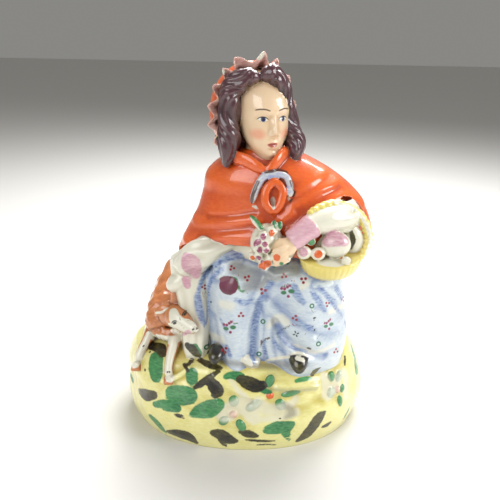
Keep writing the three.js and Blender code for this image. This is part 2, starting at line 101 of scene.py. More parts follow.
def through(keys, t):
    """A smooth curve through key rows of numbers, each row an equal step along; t runs from 0 to 1."""
    keys = np.asarray(keys, float)
    last = len(keys) - 1
    place = np.clip(np.asarray(t, float), 0, 1) * last
    i = np.minimum(place.astype(int), last - 1)
    s = (place - i)[..., None]
    b, c = keys[i], keys[i + 1]
    a = np.where((i > 0)[..., None], keys[np.maximum(i - 1, 0)], 2 * b - c)
    d = np.where((i < last - 1)[..., None], keys[np.minimum(i + 2, last)], 2 * c - b)
    return b + 0.5 * s * (c - a + s * (2 * a - 5 * b + 4 * c - d + s * (3 * (b - c) + d - a)))


def straight(keys, t):
    """The same with straight runs between the key rows."""
    keys = np.asarray(keys, float)
    places = np.linspace(0, 1, len(keys))
    return np.stack([np.interp(t, places, column) for column in keys.T], -1)


def bump(x):
    """A soft bump of height 1 at 0 that dies away by 1 on either side."""
    return np.where(np.abs(x) < 1, (1 + np.cos(np.pi * np.clip(x, -1, 1))) / 2, 0)


def apart(a, b):
    """The smallest signed difference between two angles."""
    return np.arctan2(np.sin(a - b), np.cos(a - b))


def mix(a, b, share):
    return a + (b - a) * share


def drape(folds, x, z):
    """How far a draped surface stands out at (x, z), each fold being a soft ridge along a path."""
    total = np.zeros(np.broadcast(x, z).shape)
    for path, half, rise in folds:
        gap = np.full(total.shape, 1e9)
        for px, pz in through(path, np.linspace(0, 1, 36)):
            gap = np.minimum(gap, (x - px) ** 2 + (z - pz) ** 2)
        total += rise * bump(np.sqrt(gap) / half)
    return total


def outline(sides, angle, square):
    """Points of the outline at a level, given by its leftmost, rightmost, front and back places."""
    left, right, front, back = np.moveaxis(sides, -1, 0)
    c, s = np.cos(angle), np.sin(angle)
    reach = (np.abs(c) ** square + np.abs(s) ** square) ** (-1 / square)
    x = (left + right + (right - left) * reach * c) / 2
    y = (front + back + (back - front) * reach * s) / 2
    return x, y


def turned(points, axis, degrees):
    """Points turned about one of the three axes."""
    spin = np.array(Matrix.Rotation(math.radians(degrees), 3, axis))
    return points @ spin.T


def facing(angle):
    """How much a bearing looks forward, 1 straight ahead and 0 from the side round to the back."""
    return np.maximum(0, -np.sin(angle)) ** 0.5


# Skins


def grid(levels, around):
    """The shares up and the angles round a skin."""
    share = np.linspace(0, 1, levels)[:, None] + np.zeros(around)
    angle = np.arange(around)[None, :] / around * TURN + np.zeros((levels, 1))
    return share, angle


def skin(x, y, z):
    """A closed skin over rings of points, from the bottom ring to the top one."""
    rings = np.stack(np.broadcast_arrays(x, y, z), -1).astype(float)
    levels, around = rings.shape[:2]
    points = np.vstack([rings.reshape(-1, 3), rings[0].mean(0), rings[-1].mean(0)])
    here = np.arange((levels - 1) * around)
    beside = here // around * around + (here + 1) % around
    first = np.arange(around)
    top = first + (levels - 1) * around
    faces = np.vstack(
        [
            np.stack([here, beside, beside + around], 1),
            np.stack([here, beside + around, here + around], 1),
            np.stack([np.roll(first, -1), first, np.full(around, levels * around)], 1),
            np.stack([top, np.roll(top, -1), np.full(around, levels * around + 1)], 1),
        ]
    )
    return points, faces


def limb(spine, sizes, side=(1, 0, 0), levels=36, around=24, ends=(0.12, 0.12), relief=None):
    """A round-ended limb along a spine. Each size is a half width along side and a half thickness across it."""
    step, angle = grid(levels, around)
    t = (1 - np.cos(np.pi * step[:, 0])) / 2
    middle = through(spine, t)
    tangent = through(spine, t + 0.01) - through(spine, t - 0.01)
    tangent /= np.linalg.norm(tangent, axis=1)[:, None]
    across = np.array(side, float) - (tangent @ np.array(side, float))[:, None] * tangent
    across /= np.linalg.norm(across, axis=1)[:, None]
    up = np.cross(tangent, across)

    def closing(t, share):
        return np.sqrt(np.maximum(0.004, 1 - np.maximum(0, 1 - t / share) ** 2))

    close = (closing(t, ends[0]) * closing(1 - t, ends[1]))[:, None]
    width, thickness = (column[:, None] for column in through(sizes, t).T)
    rise = relief(angle, t[:, None]) if relief else 0
    c, s = np.cos(angle), np.sin(angle)
    wide, thick = (width * close + rise * close) * c, (thickness * close + rise * close) * s
    places = middle[:, None] + across[:, None] * wide[..., None] + up[:, None] * thick[..., None]
    return skin(*np.moveaxis(places, -1, 0))


def egg(centre, halves, turn=0, tip=0, nod=0, levels=16, around=24, relief=None):
    """An egg of the given half sizes, tipped about X and Y and then turned about Z, in degrees."""
    share, angle = grid(levels, around)
    rise = np.cos(np.pi * (1 - share))
    out = np.sin(np.pi * share).clip(0.002)
    swell = 1 + (relief(angle, rise) if relief else 0)
    places = np.stack([out * np.cos(angle) * swell, out * np.sin(angle) * swell, rise * swell], -1) * halves
    places = turned(turned(turned(places, "X", nod), "Y", tip), "Z", turn) + centre
    return skin(*np.moveaxis(places, -1, 0))


# The mound

MOUND_LEVELS = [
    # leftmost, rightmost, front and back at equal steps from the underside up
    [-80.5, 80.5, -57, 56],
    [-84.5, 84, -59.5, 58.5],
    [-87, 86.5, -60, 59.5],
    [-87.5, 87.5, -59, 60],
    [-87, 86.5, -56, 59.5],
    [-87, 84.5, -53.5, 58],
    [-84, 80, -50, 54],
    [-76, 72, -45, 48],
    [-48, 48, -26, 28],
]
GROUND_RIDGES = [
    # path over the front of the mound in x and z, half width, rise
    ([[-54, 44], [-46, 48], [-38, 53]], 4, 2.2),
    ([[-20, 52], [-10, 47], [-1, 42], [13, 39]], 5, 2),
    ([[22, 45], [34, 44], [48, 43]], 4.5, 2),
    ([[34, 38], [37, 31], [50, 33]], 7, -2),
    ([[-46, 46], [-40, 40], [-36, 33]], 5, 1),
    ([[-12, 36], [0, 33], [10, 30]], 5, 0.9),
]


def mound_point(bearing, share):
    """Points of the mound's skin: bearing round it, and height as a share of its own."""
    x, y = outline(through(MOUND_LEVELS, share), bearing, 2.12)
    lumps = MOUND["lumps"] * (np.sin(5 * bearing + 0.6) + 0.7 * np.sin(9 * bearing + 2.2 + 4 * share))
    fine = 0.35 * np.sin(23 * bearing + 5 * share) * np.sin(17 * share + 3 * np.sin(7 * bearing))
    soft = np.sin(np.pi * share)
    z = MOUND["height"] * share
    ridges = np.where((y < 0) & (share > 0.2), drape(GROUND_RIDGES, x, z), 0)
    out = ((lumps + fine) * soft + ridges - MOUND["lumps"] * soft) / np.hypot(x, y)
    return x + x * out, y + y * out, z


FLORETS = [
    # bearing and height of the berry; then each leaf's way round it, distance, half length and half width
    (-94.6, 28, [(86, 8.6, 4.2, 3.2), (136, 8, 4, 2.8), (32, 9.2, 4.6, 2.8), (227, 6, 3.8, 2.7), (297, 7.6, 4.6, 2.8)]),
    (-77.5, 40, [(84, 8.4, 5.2, 3), (10, 8.8, 6.6, 2.4), (222, 8.6, 4.6, 3.3), (302, 8, 5, 3.3)]),
    (-42, 35, [(100, 9.2, 4.4, 3.1), (55, 9, 4.4, 2.7), (180, 6, 3.8, 4), (-16, 6.4, 2.6, 3), (280, 8.6, 4.8, 2.3)]),
]


def mound_spot(bearing, height):
    """A place on the mound at a bearing in degrees and a height."""
    return np.array(mound_point(np.float64(math.radians(bearing)), np.float64(height / MOUND["height"])))


def floret(bearing, height, leaves):
    """A sprig of raised leaves round a berry, on the mound's side."""
    middle = mound_spot(bearing, height)
    reach = np.hypot(middle[0], middle[1])

    def vein(around, rise):
        return -0.12 * bump(np.sin(around) / 0.3) * (np.cos(around) > -2)

    for way, distance, half, wide in leaves:
        across, up = np.cos(math.radians(way)) * distance, np.sin(math.radians(way)) * distance
        at = mound_spot(bearing + math.degrees(across / reach), height + up)
        yield "leaf", egg(at, (half, 1.9, wide), turn=bearing + 90, tip=-way, levels=24, around=40)
    yield "berry", egg(middle, (2.6, 2.2, 2.4))


def mound():
    share, angle = grid(70, 420)
    yield "ground", skin(*mound_point(angle, share))
    for bearing, height, size in FLORETS:
        yield from floret(bearing, height, size)


# The skirt and the shoes under it

SKIRT_LEVELS = [
    # leftmost, rightmost, front and back at equal steps from the mound up to the lap
    [-28, 69, -40.5, 34],
    [-28.5, 71, -40, 34],
    [-30, 71, -38.5, 34],
    [-32, 69.5, -37, 34],
    [-33, 67.5, -36.5, 33],
    [-30, 66, -36, 32],
    [-20, 60, -31, 29],
    [2, 44, -12, 14],
]
SKIRT_FOLDS = [
    ([[-7, 133], [-10, 119], [-11, 100], [-10, 80], [-8, 55]], 19, 7),  # left leg
    ([[33, 130], [37, 117], [40, 102], [42, 88], [40, 64]], 27, 8.5),  # right leg
    ([[-7, 131], [-20, 124], [-27, 112], [-30, 100], [-26, 85]], 5, 2.6),
    ([[-16, 119], [-22, 111], [-24, 98], [-24.5, 85]], 4.5, -1.6),
    ([[15, 114], [12, 107], [9, 95], [6, 82], [5, 64]], 5.5, -2.6),
    ([[9, 104], [17, 118], [27, 125]], 6, 2.4),
    ([[12, 100], [20, 93], [28, 86], [40, 79], [57, 73], [69, 70]], 6.5, 2.4),
    ([[19, 88], [26, 78], [37, 71], [52, 64]], 4.5, -2.4),
    ([[16, 88], [15, 77], [17, 62]], 4, 2),
    ([[43, 115], [54, 103], [65, 86]], 5, -2),
    # finer folds that only the glazed surface shows
    ([[9, 92], [10, 78], [9, 62]], 2.6, 1.1),
    ([[22, 79], [25, 70], [27, 60]], 3, -1),
    ([[30, 75], [38, 67], [46, 62]], 3, 0.9),
    ([[-27, 92], [-24, 78], [-22, 66]], 3, 1.1),
    ([[-21, 90], [-18, 76], [-17, 66]], 2.6, -0.9),
    ([[50, 112], [60, 101], [68, 92]], 3.5, 1.2),
    ([[46, 100], [57, 90], [67, 80]], 4, -1.1),
    ([[-2, 128], [5, 124], [14, 122]], 4, 1),
    ([[-24, 118], [-18, 126], [-8, 131]], 3, -0.8),
]


def skirt():
    share, angle = grid(110, 400)
    z = mix(SKIRT["bottom"], SKIRT["top"], share)
    x, y = outline(through(SKIRT_LEVELS, share), angle, SKIRT["square"])
    flare = 1 + 0.03 * np.cos(9 * angle) * bump(share / 0.35)
    yield "skirt", skin(x, y * flare - facing(angle) * drape(SKIRT_FOLDS, x, z), z)
    left = [[8, 6, 126], [-4, -12, 126], [-10, -26, 123], [-12, -33, 112]]
    right = [[34, 6, 122], [36, -14, 120], [38, -28, 117], [39, -33, 108]]
    yield "skirt", limb(left, [[11, 9], [11, 9], [11, 8.6], [10, 7]])
    yield "skirt", limb(right, [[14, 10], [17, 11], [18, 11], [17, 9]])


def shoes():
    right = [[34, -38, 66], [35, -47, 64], [35, -54, 59]]
    left = [[-17, -34, 66], [-19, -43, 65], [-20, -48, 61]]
    yield "shoe", limb(right, [[6.5, 5], [6, 4.6], [4.4, 3]], ends=(0.1, 0.4))
    yield "shoe", limb(left, [[6, 4], [5, 4], [3.5, 3]], ends=(0.1, 0.4))
    petticoat = [[-6, -37, 62], [2, -41, 60], [10, -41, 58]]
    yield "sleeve", limb(petticoat, [[3, 3.5], [4, 5], [3, 3]])


# The cape

CAPE_LEVELS = [
    # leftmost, rightmost, front and back at equal steps from the bottom of the back up to the neck
    [-49, 72, -31, 48],
    [-49, 73, -31, 48],
    [-49, 74, -32, 47],
    [-49, 76, -33, 46],
    [-49, 80, -34, 45],
    [-47, 85, -35, 43],
    [-40.5, 84.5, -35, 41],
    [-33.5, 80, -33.5, 38],
    [-29, 71, -31, 33],
    [-25, 53, -28, 26],
    [-6, 26, -20, 14],
]
CAPE_FOLDS = [
    ([[22, 156], [34, 165], [47, 172], [62, 177]], 6, 2.2),
    ([[24, 149], [38, 159], [50, 166], [62, 167], [76, 160]], 5, 2.2),
    ([[30, 162], [42, 169], [56, 172]], 4, -1.6),
    ([[-34, 146], [-14, 151], [6, 155]], 5, 1.6),
    ([[-40, 132], [-20, 141], [4, 144]], 5, 1.8),
    ([[-22, 182], [-34, 158], [-44, 134]], 7, 1.6),
    # finer folds that only the glazed surface shows
    ([[-24, 152], [-10, 155], [4, 159]], 3, -0.9),
    ([[-30, 138], [-14, 145], [2, 150]], 3, -0.9),
    ([[44, 160], [56, 163], [70, 158]], 3, -1.1),
    ([[30, 172], [42, 179], [54, 184]], 4, 0.9),
]
HEM = [[126], [92], [60], [56], [60], [108], [127], [136], [136], [126], [124], [126]]
ARCH = dict(bearing=-40, half_span=38, top=167)  # where the hem lifts over the arm and basket
CAPE_UNDERSIDE = [[0.05, 1], [0.6, 0.3], [0.93, -0.02], [1, 0]]  # shares of the way out and down


def hem_height(angle):
    """The height of the cape's hem at a bearing round its centre."""
    lift = bump(apart(angle, math.radians(ARCH["bearing"])) / math.radians(ARCH["half_span"])) ** 0.5
    return mix(through(HEM, angle / TURN)[..., 0], ARCH["top"], lift)


def cape_point(angle, z):
    """The cape's outer form at a bearing and height, with folds down the back that deepen to its hem."""
    share = (z - CAPE["bottom"]) / (CAPE["top"] - CAPE["bottom"])
    x, y = outline(through(CAPE_LEVELS, share), angle, 2.15)
    behind = np.maximum(0, np.sin(angle)) * CAPE["hem_fold"] * (1 - share)
    out = behind * (np.cos(11 * angle) - 1) + facing(angle) * drape(CAPE_FOLDS, x, z)
    return x + out * np.cos(angle), y + out * np.sin(angle), z


def cape():
    share, angle = grid(150, 400)
    edge = hem_height(angle)
    under = 0.2
    x, y, z = cape_point(angle, mix(edge, CAPE["top"], np.maximum(0, (share - under) / (1 - under))))
    rim_x, rim_y, _ = cape_point(angle, edge)
    out, down = np.moveaxis(straight(CAPE_UNDERSIDE, np.minimum(1, share / under)), -1, 0)
    beneath = share < under
    x = np.where(beneath, mix(CAPE["centre"][0], rim_x, out), x)
    y = np.where(beneath, mix(CAPE["centre"][1], rim_y, out), y)
    z = np.where(beneath, mix(edge, CAPE["bottom"], down), z)
    yield "cape", skin(x, y, z)


def bodice():
    """The body under the cape, which the arms and the hem rest on."""
    share, angle = grid(30, 120)
    levels = [[-34, 66, -29, 34], [-30, 66, -31, 34], [-24, 62, -30, 30], [-12, 44, -24, 20]]
    x, y = outline(through(levels, share), angle, 2.2)
    yield "sleeve", skin(x, y, mix(112, 178, share))


def collar():
    """The standing edges of the cape, either side of the chin."""
    shape = dict(side=(0, 0, 1), ends=(0.2, 0.2), levels=50)
    left = [[-9, -17, 188], [-6, -22, 190.5], [-1, -25.5, 189.8], [5, -28, 187], [11, -29, 184.5]]
    right = [[24, -13, 191], [21.5, -19.5, 193], [18, -25, 190.5], [14, -28, 186.5], [10, -29, 184]]
    yield "cape", limb(left, [[3.5, 2.2], [4, 2.1], [3.8, 2], [3.4, 2], [2.6, 2]], **shape)
    yield "cape", limb(right, [[3.5, 2.2], [4.2, 2.1], [3.8, 2], [3.2, 2], [2.4, 2]], **shape)


def bow():
    """The ribbon tied at the neck: a bent band over a hanging loop."""
    band = [[2.5, -33, 165], [5, -32.4, 174], [9.2, -30.5, 181], [16, -29.6, 182.6], [22.6, -30, 181.6], [25.6, -31.5, 175.5], [25.4, -33, 169.5]]
    yield "bow", limb(band, [[1.9, 2.3]] * 3 + [[1.9, 2.1]] * 4, side=(0, 1, 0), levels=70)
    loop = [[16, -35, 160], [11, -35, 166], [11, -33.6, 174], [16, -32, 178.4], [20.6, -33, 174], [19.6, -34.6, 166], [15.4, -35, 160]]
    yield "cape", limb(loop, [[1.9, 2.6]] * 7, side=(0, 1, 0), levels=70, ends=(0.05, 0.05))
    yield "cape", limb([[15.5, -33.5, 163], [16, -31, 155]], [[1.6, 2], [1.2, 1.4]], side=(0, 1, 0))


# The head, its hair and the hood


def in_head(x, y, z):
    """Moves points of the head's own frame, forward -Y, into place."""
    places = np.stack(np.broadcast_arrays(x, y, z), -1)
    places = turned(turned(places, "X", HEAD["nod"]), "Z", HEAD["turn"]) + HEAD["centre"]
    return np.moveaxis(places, -1, 0)


HEAD_LEVELS = [
    # half width, forward and backward reach at equal steps from the chin up to the crown
    [4, 14.5, -8],
    [9.5, 17.2, 3],
    [12.8, 17.8, 11],
    [14.6, 18, 16],
    [15.6, 18.2, 19],
    [15.8, 17.8, 20],
    [15, 15.8, 19],
    [11.5, 10.5, 14],
    [4, 3, 5],
]
FEATURES = [
    # height above the head's centre, place to the side, reach, spread to the side and in height
    (-5.2, 0, 3.2, 1.9, 2.2),  # tip of the nose
    (-1, 0, 2.4, 1.7, 4.6),  # bridge
    (-6.6, 2.2, 1.3, 1.2, 1.3),  # wings of the nose
    (-11.2, 0, 1.5, 3.4, 1.1),  # upper lip
    (-12.5, 0, -1.1, 3.6, 0.5),  # between the lips
    (-13.9, 0, 1.5, 2.8, 1.1),  # lower lip
    (-16, 0, -0.7, 3.4, 1.2),  # under the lip
    (-19.4, 0, 1.8, 4.6, 3.2),  # chin
    (8.4, 6, 0.8, 5, 2),  # brows
    (-6.5, 8, 1.1, 4.6, 5),  # cheeks
    (3, 6.3, -2, 3.9, 2.9),  # eye sockets
    (2.3, 6.3, 1.6, 2.4, 1.5),  # eyeballs
    (4.6, 6.3, 0.6, 3.2, 0.6),  # upper lids
    (0.1, 6.3, 0.35, 2.8, 0.5),  # lower lids
    (-9.3, 0, -0.35, 0.8, 1.3),  # the groove over the lip
]


def relief(x, z):
    """How far the face stands forward of the plain head at a place to the side and a height."""
    total = 0
    for height, offset, reach, wide, tall in FEATURES:
        across, along = (np.abs(x) - offset) / wide, (z - height) / tall
        total = total + reach * np.exp(-across * across - along * along)
    return total


def head():
    share, angle = grid(150, 260)
    half, forward, backward = np.moveaxis(through(HEAD_LEVELS, share), -1, 0)
    x, y = outline(np.stack([-half, half, -forward, backward], -1), angle, 2.1)
    z = mix(HEAD["chin"], HEAD["crown"], share)
    yield "skin", skin(*in_head(x, y - relief(x, z) * facing(angle), z))
    spine = [[9, -5, 180], [9, -8, 192], [8, -8, 202]]
    yield "skin", limb(spine, [[13, 13], [11, 11], [10, 10]])


LOCKS = [
    # the parted hair over the brow, and the long lock it runs down into, on each side: spine, then half sizes
    (
        [[6.5, -21, 237.5], [-4, -21, 236.4], [-11.2, -19, 228], [-12, -18, 213], [-12, -19, 200], [-13.5, -22, 184]],
        [[3.6, 4], [5.6, 5.4], [6.6, 7.4], [6.4, 8], [6.6, 8], [3.6, 3]],
    ),
    (
        [[-2, -9, 234], [-11, -10, 229], [-13.4, -10, 214], [-13, -12, 198], [-14, -16, 185]],
        [[4, 5], [5.4, 7], [4.6, 8], [4.6, 7], [4, 4]],
    ),
    (
        [[6.5, -20.5, 237], [13.5, -18, 239], [20, -14, 229], [23.2, -10.5, 218], [26.4, -10, 206], [28.8, -13, 196], [27, -17, 187.5]],
        [[3.4, 4], [5.4, 5.6], [4.8, 6.6], [4.4, 7], [5.6, 7], [6, 7], [4, 4]],
    ),
]


def strands(angle, t):
    """The combed grooves of a lock, which wind a little as they run down it."""
    wind = angle + 1.1 * np.sin(9 * t)
    return 0.5 * np.cos(8 * wind) * np.minimum(1, 6 * t) + 0.45 * np.sin(26 * t + 2 * angle)


def hair():
    yield "hair", egg((6, -1, 219), (19.5, 20, 23), levels=30, around=60)
    for spine, sizes in LOCKS:
        yield "hair", limb(spine, sizes, levels=110, around=90, ends=(0.1, 0.14), relief=strands)


FRILL_TIPS = [10, 38, 62.6, 80.5, 116.8, 132, 151, 169.5, 188, 210, 240, 300, 370]  # bearings round the mouth
HOOD_RINGS = [
    # how far back each ring lies, its share of the full size, and how much of the frill's wave it has
    [-4, 1.09, 1],
    [-1, 1.04, 0.7],
    [3, 0.93, 0.2],
    [13, 0.97, 0],
    [23, 0.88, 0],
    [31, 0.62, 0],
    [35, 0.1, 0],
]
HOOD_INSIDE = [
    # share of the wall's size, distance back from the frill, from the middle of the cup out to its lip
    [0.05, 8],
    [0.62, 11],
    [0.76, 6],
    [0.86, 1.4],
    [1, 0],
]


def frill_wave(angle):
    """The frill's wave at a bearing round the hood's mouth, 1 at each tip and -1 at each dip."""
    tips = np.radians(FRILL_TIPS) - math.radians(FRILL_TIPS[0])
    bearing = (angle - math.radians(FRILL_TIPS[0])) % TURN
    i = np.searchsorted(tips, bearing, side="right") - 1
    return np.cos(TURN * (bearing - tips[i]) / (tips[i + 1] - tips[i]))


def hood():
    """The hood is a cup that opens forward, with a waved frill round its mouth."""
    share, angle = grid(110, 460)
    within = share < 0.4
    back, size, wave = np.moveaxis(through(HOOD_RINGS, np.maximum(0, (share - 0.4) / 0.6)), -1, 0)
    wall, depth = np.moveaxis(straight(HOOD_INSIDE, np.minimum(1, share / 0.4)), -1, 0)
    ripple = wave * frill_wave(np.pi - angle) * np.where(within, wall**2, 1)
    tall = np.where(np.sin(angle) > 0, HOOD["top"], HOOD["foot"])
    wide = np.where(np.cos(angle) > 0, HOOD["left"], HOOD["right"])
    flare = mix(*HOOD["flare"], np.maximum(0, np.sin(angle))) * ripple
    across = (wide * size + flare) * wall * -np.cos(angle)
    up = (tall * size + flare) * wall * np.sin(angle)
    places = np.stack([across, back + depth + 1.2 * ripple, up], -1)
    places = turned(places, "Z", HOOD["turn"]) + HOOD["centre"]
    points, faces = skin(*np.moveaxis(places, -1, 0))
    inner = faces.min(1) < 0.4 * share.size
    yield "frill", (points, faces[inner])
    yield "hood", (points, faces[~inner])


# The arms, the posy and the basket


def right_sleeve():
    """The sleeve that widens from its cuff, and the hand that holds the posy."""

    def gathers(angle, t):
        return (0.9 * np.cos(6 * angle + 5 * t) + 0.4 * np.sin(11 * angle)) * bump((t - 1) / 0.55)

    path = [[27, -43.5, 146], [34, -41, 150.5], [41, -37.5, 155], [50, -33.5, 156.5], [60, -25, 155.5], [66, -12, 152]]
    sizes = [[5.6, 6], [6.4, 6.6], [7.4, 7.4], [9, 8.6], [10, 10], [10, 10]]
    yield "sleeve", limb(path, sizes, side=(0, 0, 1), ends=(0.06, 0.1), levels=70, around=80, relief=gathers)
    cuff = [[25.5, -44, 145.2], [30, -42.6, 148], [35.5, -40.2, 151.6], [40, -38, 154.4]]
    yield "cuff", limb(cuff, [[6.4, 6.8], [6.6, 7], [7.2, 7.4], [8, 8]], side=(0, 0, 1), ends=(0.1, 0.1), around=60)
    yield "skin", egg((22, -45.5, 141.8), (8.4, 5.4, 6.2), turn=-18, tip=-20, levels=30, around=50)
    for i in range(4):
        knuckle = np.array([24.5, -49.3, 145]) + i * np.array([0.2, -0.4, -2.7])
        finger = [knuckle, knuckle + [-4.5, -2, -1.6], knuckle + [-9.5, -1.2, -3.6]]
        yield "skin", limb(finger, [[1.6, 1.7], [1.6, 1.8], [1.3, 1.4]], side=(0, 0, 1), ends=(0.15, 0.2))


def left_sleeve():
    """The wide sleeve over the dog, its turned corner, and the lining that falls behind the dog."""

    def creases(angle, t):
        return 0.8 * np.cos(3 * angle + 13 * t) + 0.35 * np.cos(7 * angle - 9 * t)

    def pleats(angle, t):
        return (0.9 * np.cos(5 * angle + 2 * t) + 0.4 * np.cos(11 * angle)) * (0.4 + 0.6 * t)

    path = [[2, -14, 137], [-14, -20, 133.5], [-28, -23, 128.5], [-38, -22.5, 122], [-43, -22, 115]]
    sizes = [[7, 7], [8.6, 8.6], [10, 9], [9.6, 9], [7, 8]]
    yield "sleeve", limb(path, sizes, side=(0, 0, 1), levels=70, around=80, relief=creases)
    yield "sleeve", egg((-44.5, -22, 108), (9.6, 7, 6), tip=-38, levels=30, around=50)
    hanging = [[-37, -8, 126], [-36, -15, 110], [-34, -20, 90], [-33.5, -24, 72], [-33, -27, 52]]
    sizes = [[15, 14], [14.5, 14], [12, 13], [10.5, 13], [9.5, 13]]
    yield "sleeve", limb(hanging, sizes, levels=70, around=90, relief=pleats)


MAGENTA_BLOOMS = [
    # middle, half width
    ([9.6, -46.5, 150], 2.9),
    ([6.8, -46, 147], 2.8),
    ([10.6, -48, 146.2], 3.1),
    ([6.6, -46.5, 142.4], 3),
    ([11.4, -48.4, 142], 2.9),
    ([7.4, -46.5, 138], 2.8),
    ([13.6, -47, 148.4], 2.6),
]
ORANGE_BLOOMS = [
    ([14.5, -44.5, 152], 3.6),
    ([17.6, -49.5, 138], 3.2),
    ([11, -47.5, 132.6], 4.2),
    ([4.2, -43.5, 135.6], 3.2),
    ([14, -48.5, 136.4], 2.4),
]
LEAVES = [
    # root, tip, half width
    ([9, -43, 152.5], [1.6, -37, 159.4], 2.1),
    ([16, -42, 152], [16.2, -39, 157.4], 2),
    ([18.5, -42, 151.5], [20.4, -38.5, 156.6], 2),
    ([14, -46, 132], [21, -45.5, 132.8], 2.2),
    ([21, -45.5, 133], [27, -45, 135], 2),
]


def petals(angle, rise):
    """The lapped petals of a bloom."""
    return 0.12 * np.cos(5 * angle + 2 * rise) + 0.05 * np.cos(10 * angle)


def posy():
    for (x, y, z), size in MAGENTA_BLOOMS + ORANGE_BLOOMS:
        yield "posy", egg((x, y, z), (size, size, size * 0.8), nod=78, relief=petals, levels=24, around=50)
        yield "posy", egg((x, y - size * 0.74, z), (size * 0.34,) * 3)
    for root, tip, half in LEAVES:
        middle = np.mean([root, tip], 0)
        yield "posy", limb([root, middle, tip], [[half * 0.7, 1.6], [half, 2], [half * 0.5, 1.4]], ends=(0.2, 0.25))
    yield "posy", egg((12, -39, 143), (10, 8, 12), levels=24, around=50)
    yield "posy", egg((20, -38, 138), (10, 9, 8), levels=24, around=50)


FILLING = [
    # middle, half width and half height of what the basket holds
    ([52, -36, 130], (16.5, 3.5)),
    ([54.3, -38.5, 142], (9.3, 8.2)),
    ([34.8, -43, 138.2], (4.5, 4.3)),
    ([43.4, -43, 137.6], (4.5, 4.3)),
    ([60.5, -44, 134], (3, 2.6)),
    ([38.6, -43, 145.4], (2.8, 2.6)),
    ([66, -28, 139], (7, 12)),
]


def basket():
    """The ribbed bowl, its handle over the sleeve, and what it holds."""
    share, angle = grid(50, 320)
    flare = through([[0.5], [0.8], [0.93], [1], [1.03]], share)[..., 0]
    reeds = np.abs(np.cos(BASKET["ribs"] * angle)) ** 0.6 - 0.5
    weave = 1 + 0.05 * reeds * np.minimum(1, share * 3)
    places = np.stack(
        [
            BASKET["half_width"] * flare * weave * np.cos(angle),
            BASKET["half_depth"] * flare * weave * np.sin(angle),
            BASKET["depth"] * (share - 1),
        ],
        -1,
    )
    places = turned(places, "X", BASKET["tilt"]) + BASKET["centre"]
    yield "basket", skin(*np.moveaxis(places, -1, 0))
    path = [[68, -33, 129], [74, -29.5, 136], [76, -27, 144], [72.6, -27, 153], [65, -28, 160.6], [54, -30, 165], [44, -34, 163.6], [36.5, -37, 159.5]]

    def plait(angle, t):
        return 0.35 * np.sin(110 * t + 2 * np.cos(angle))

    yield "basket", limb(path, [[3.5, 3]] * 8, side=(0, -1, 0.3), levels=220, ends=(0.04, 0.04), relief=plait)
    for (x, y, z), (wide, tall) in FILLING:
        yield "fruit", egg((x, y, z), (wide, wide * 0.72, tall), levels=24, around=40)


# The dog


def coat(angle, t):
    """The shallow tufts of the dog's coat."""
    return 0.5 * np.sin(5 * angle + 26 * t) * np.sin(7 * angle - 15 * t)


def dog():
    yield from dog_body()
    yield from dog_head()
    yield from dog_legs()


def dog_body():
    trunk = [[-42, 40, 95], [-48, 27, 93], [-54, 11, 82], [-57, -3, 75], [-56, -14, 74]]
    sizes = [[11, 13], [13, 15], [13.5, 15], [13.5, 14], [12, 11]]
    yield "dog", limb(trunk, sizes, levels=90, around=90, ends=(0.14, 0.14), relief=coat)
    bank = [[-44, 40, 78], [-50, 24, 70], [-57, 6, 58], [-60, -12, 48]]
    yield "ground", limb(bank, [[13, 14], [16, 15], [17, 14], [14, 12]], levels=50, around=60, ends=(0.14, 0.14))
    chest = [[-57, -10, 78], [-56.5, -15, 74], [-55.5, -18, 70]]
    yield "dog", limb(chest, [[12.5, 12], [13, 11], [11, 8]], levels=50, around=90, relief=coat)
    bib = [[-67, -13, 69], [-62, -19, 67.6], [-56, -23, 67.4], [-50, -24.5, 67.6], [-44, -25, 71]]
    for x, y, z in through(bib, np.linspace(0, 1, 9)):
        yield "dog", limb([[x, y + 2, z + 5], [x, y - 0.6, z], [x + 0.5, y + 0.4, z - 4.6]], [[2.6, 3], [2.4, 2.6], [0.9, 1]])


def dog_head():
    yield "dog", egg((-49.5, -22.5, 84), (9.4, 8.6, 9.4), levels=30, around=50)
    muzzle = [[-49, -24, 85], [-45, -29, 85], [-40, -35, 83.8], [-35.6, -39.6, 83.4], [-32, -43, 83.6]]
    yield "dog", limb(muzzle, [[8.2, 8.4], [8.2, 8.2], [5.8, 6.6], [3.9, 4.7], [2.6, 3]], levels=60, around=60, ends=(0.16, 0.1))
    for x, y, z in ((-46.4, -32.6, 84.2), (-40.4, -29.6, 89.2)):
        yield "dog", egg((x, y, z), (1.9, 1.6, 1.5))
    yield "dog", egg((-31.6, -44.2, 84.2), (2, 1.8, 1.6))
    upright = [[-45.6, -24.5, 90], [-45.8, -24.2, 95], [-46, -24, 99], [-46.2, -23.6, 103]]
    yield "dog", limb(upright, [[4.6, 3], [4.4, 2.6], [3.8, 2.3], [2.2, 1.8]], ends=(0.05, 0.16), around=40)
    side_ear = [[-50.5, -25, 88.5], [-54.5, -26, 88], [-58, -25.5, 86.4], [-60.6, -24.6, 83.6]]
    yield "dog", limb(side_ear, [[4.4, 2.4], [4.2, 2.2], [3.4, 2], [1.8, 1.6]], side=(0, 0, 1), ends=(0.05, 0.2), around=40)


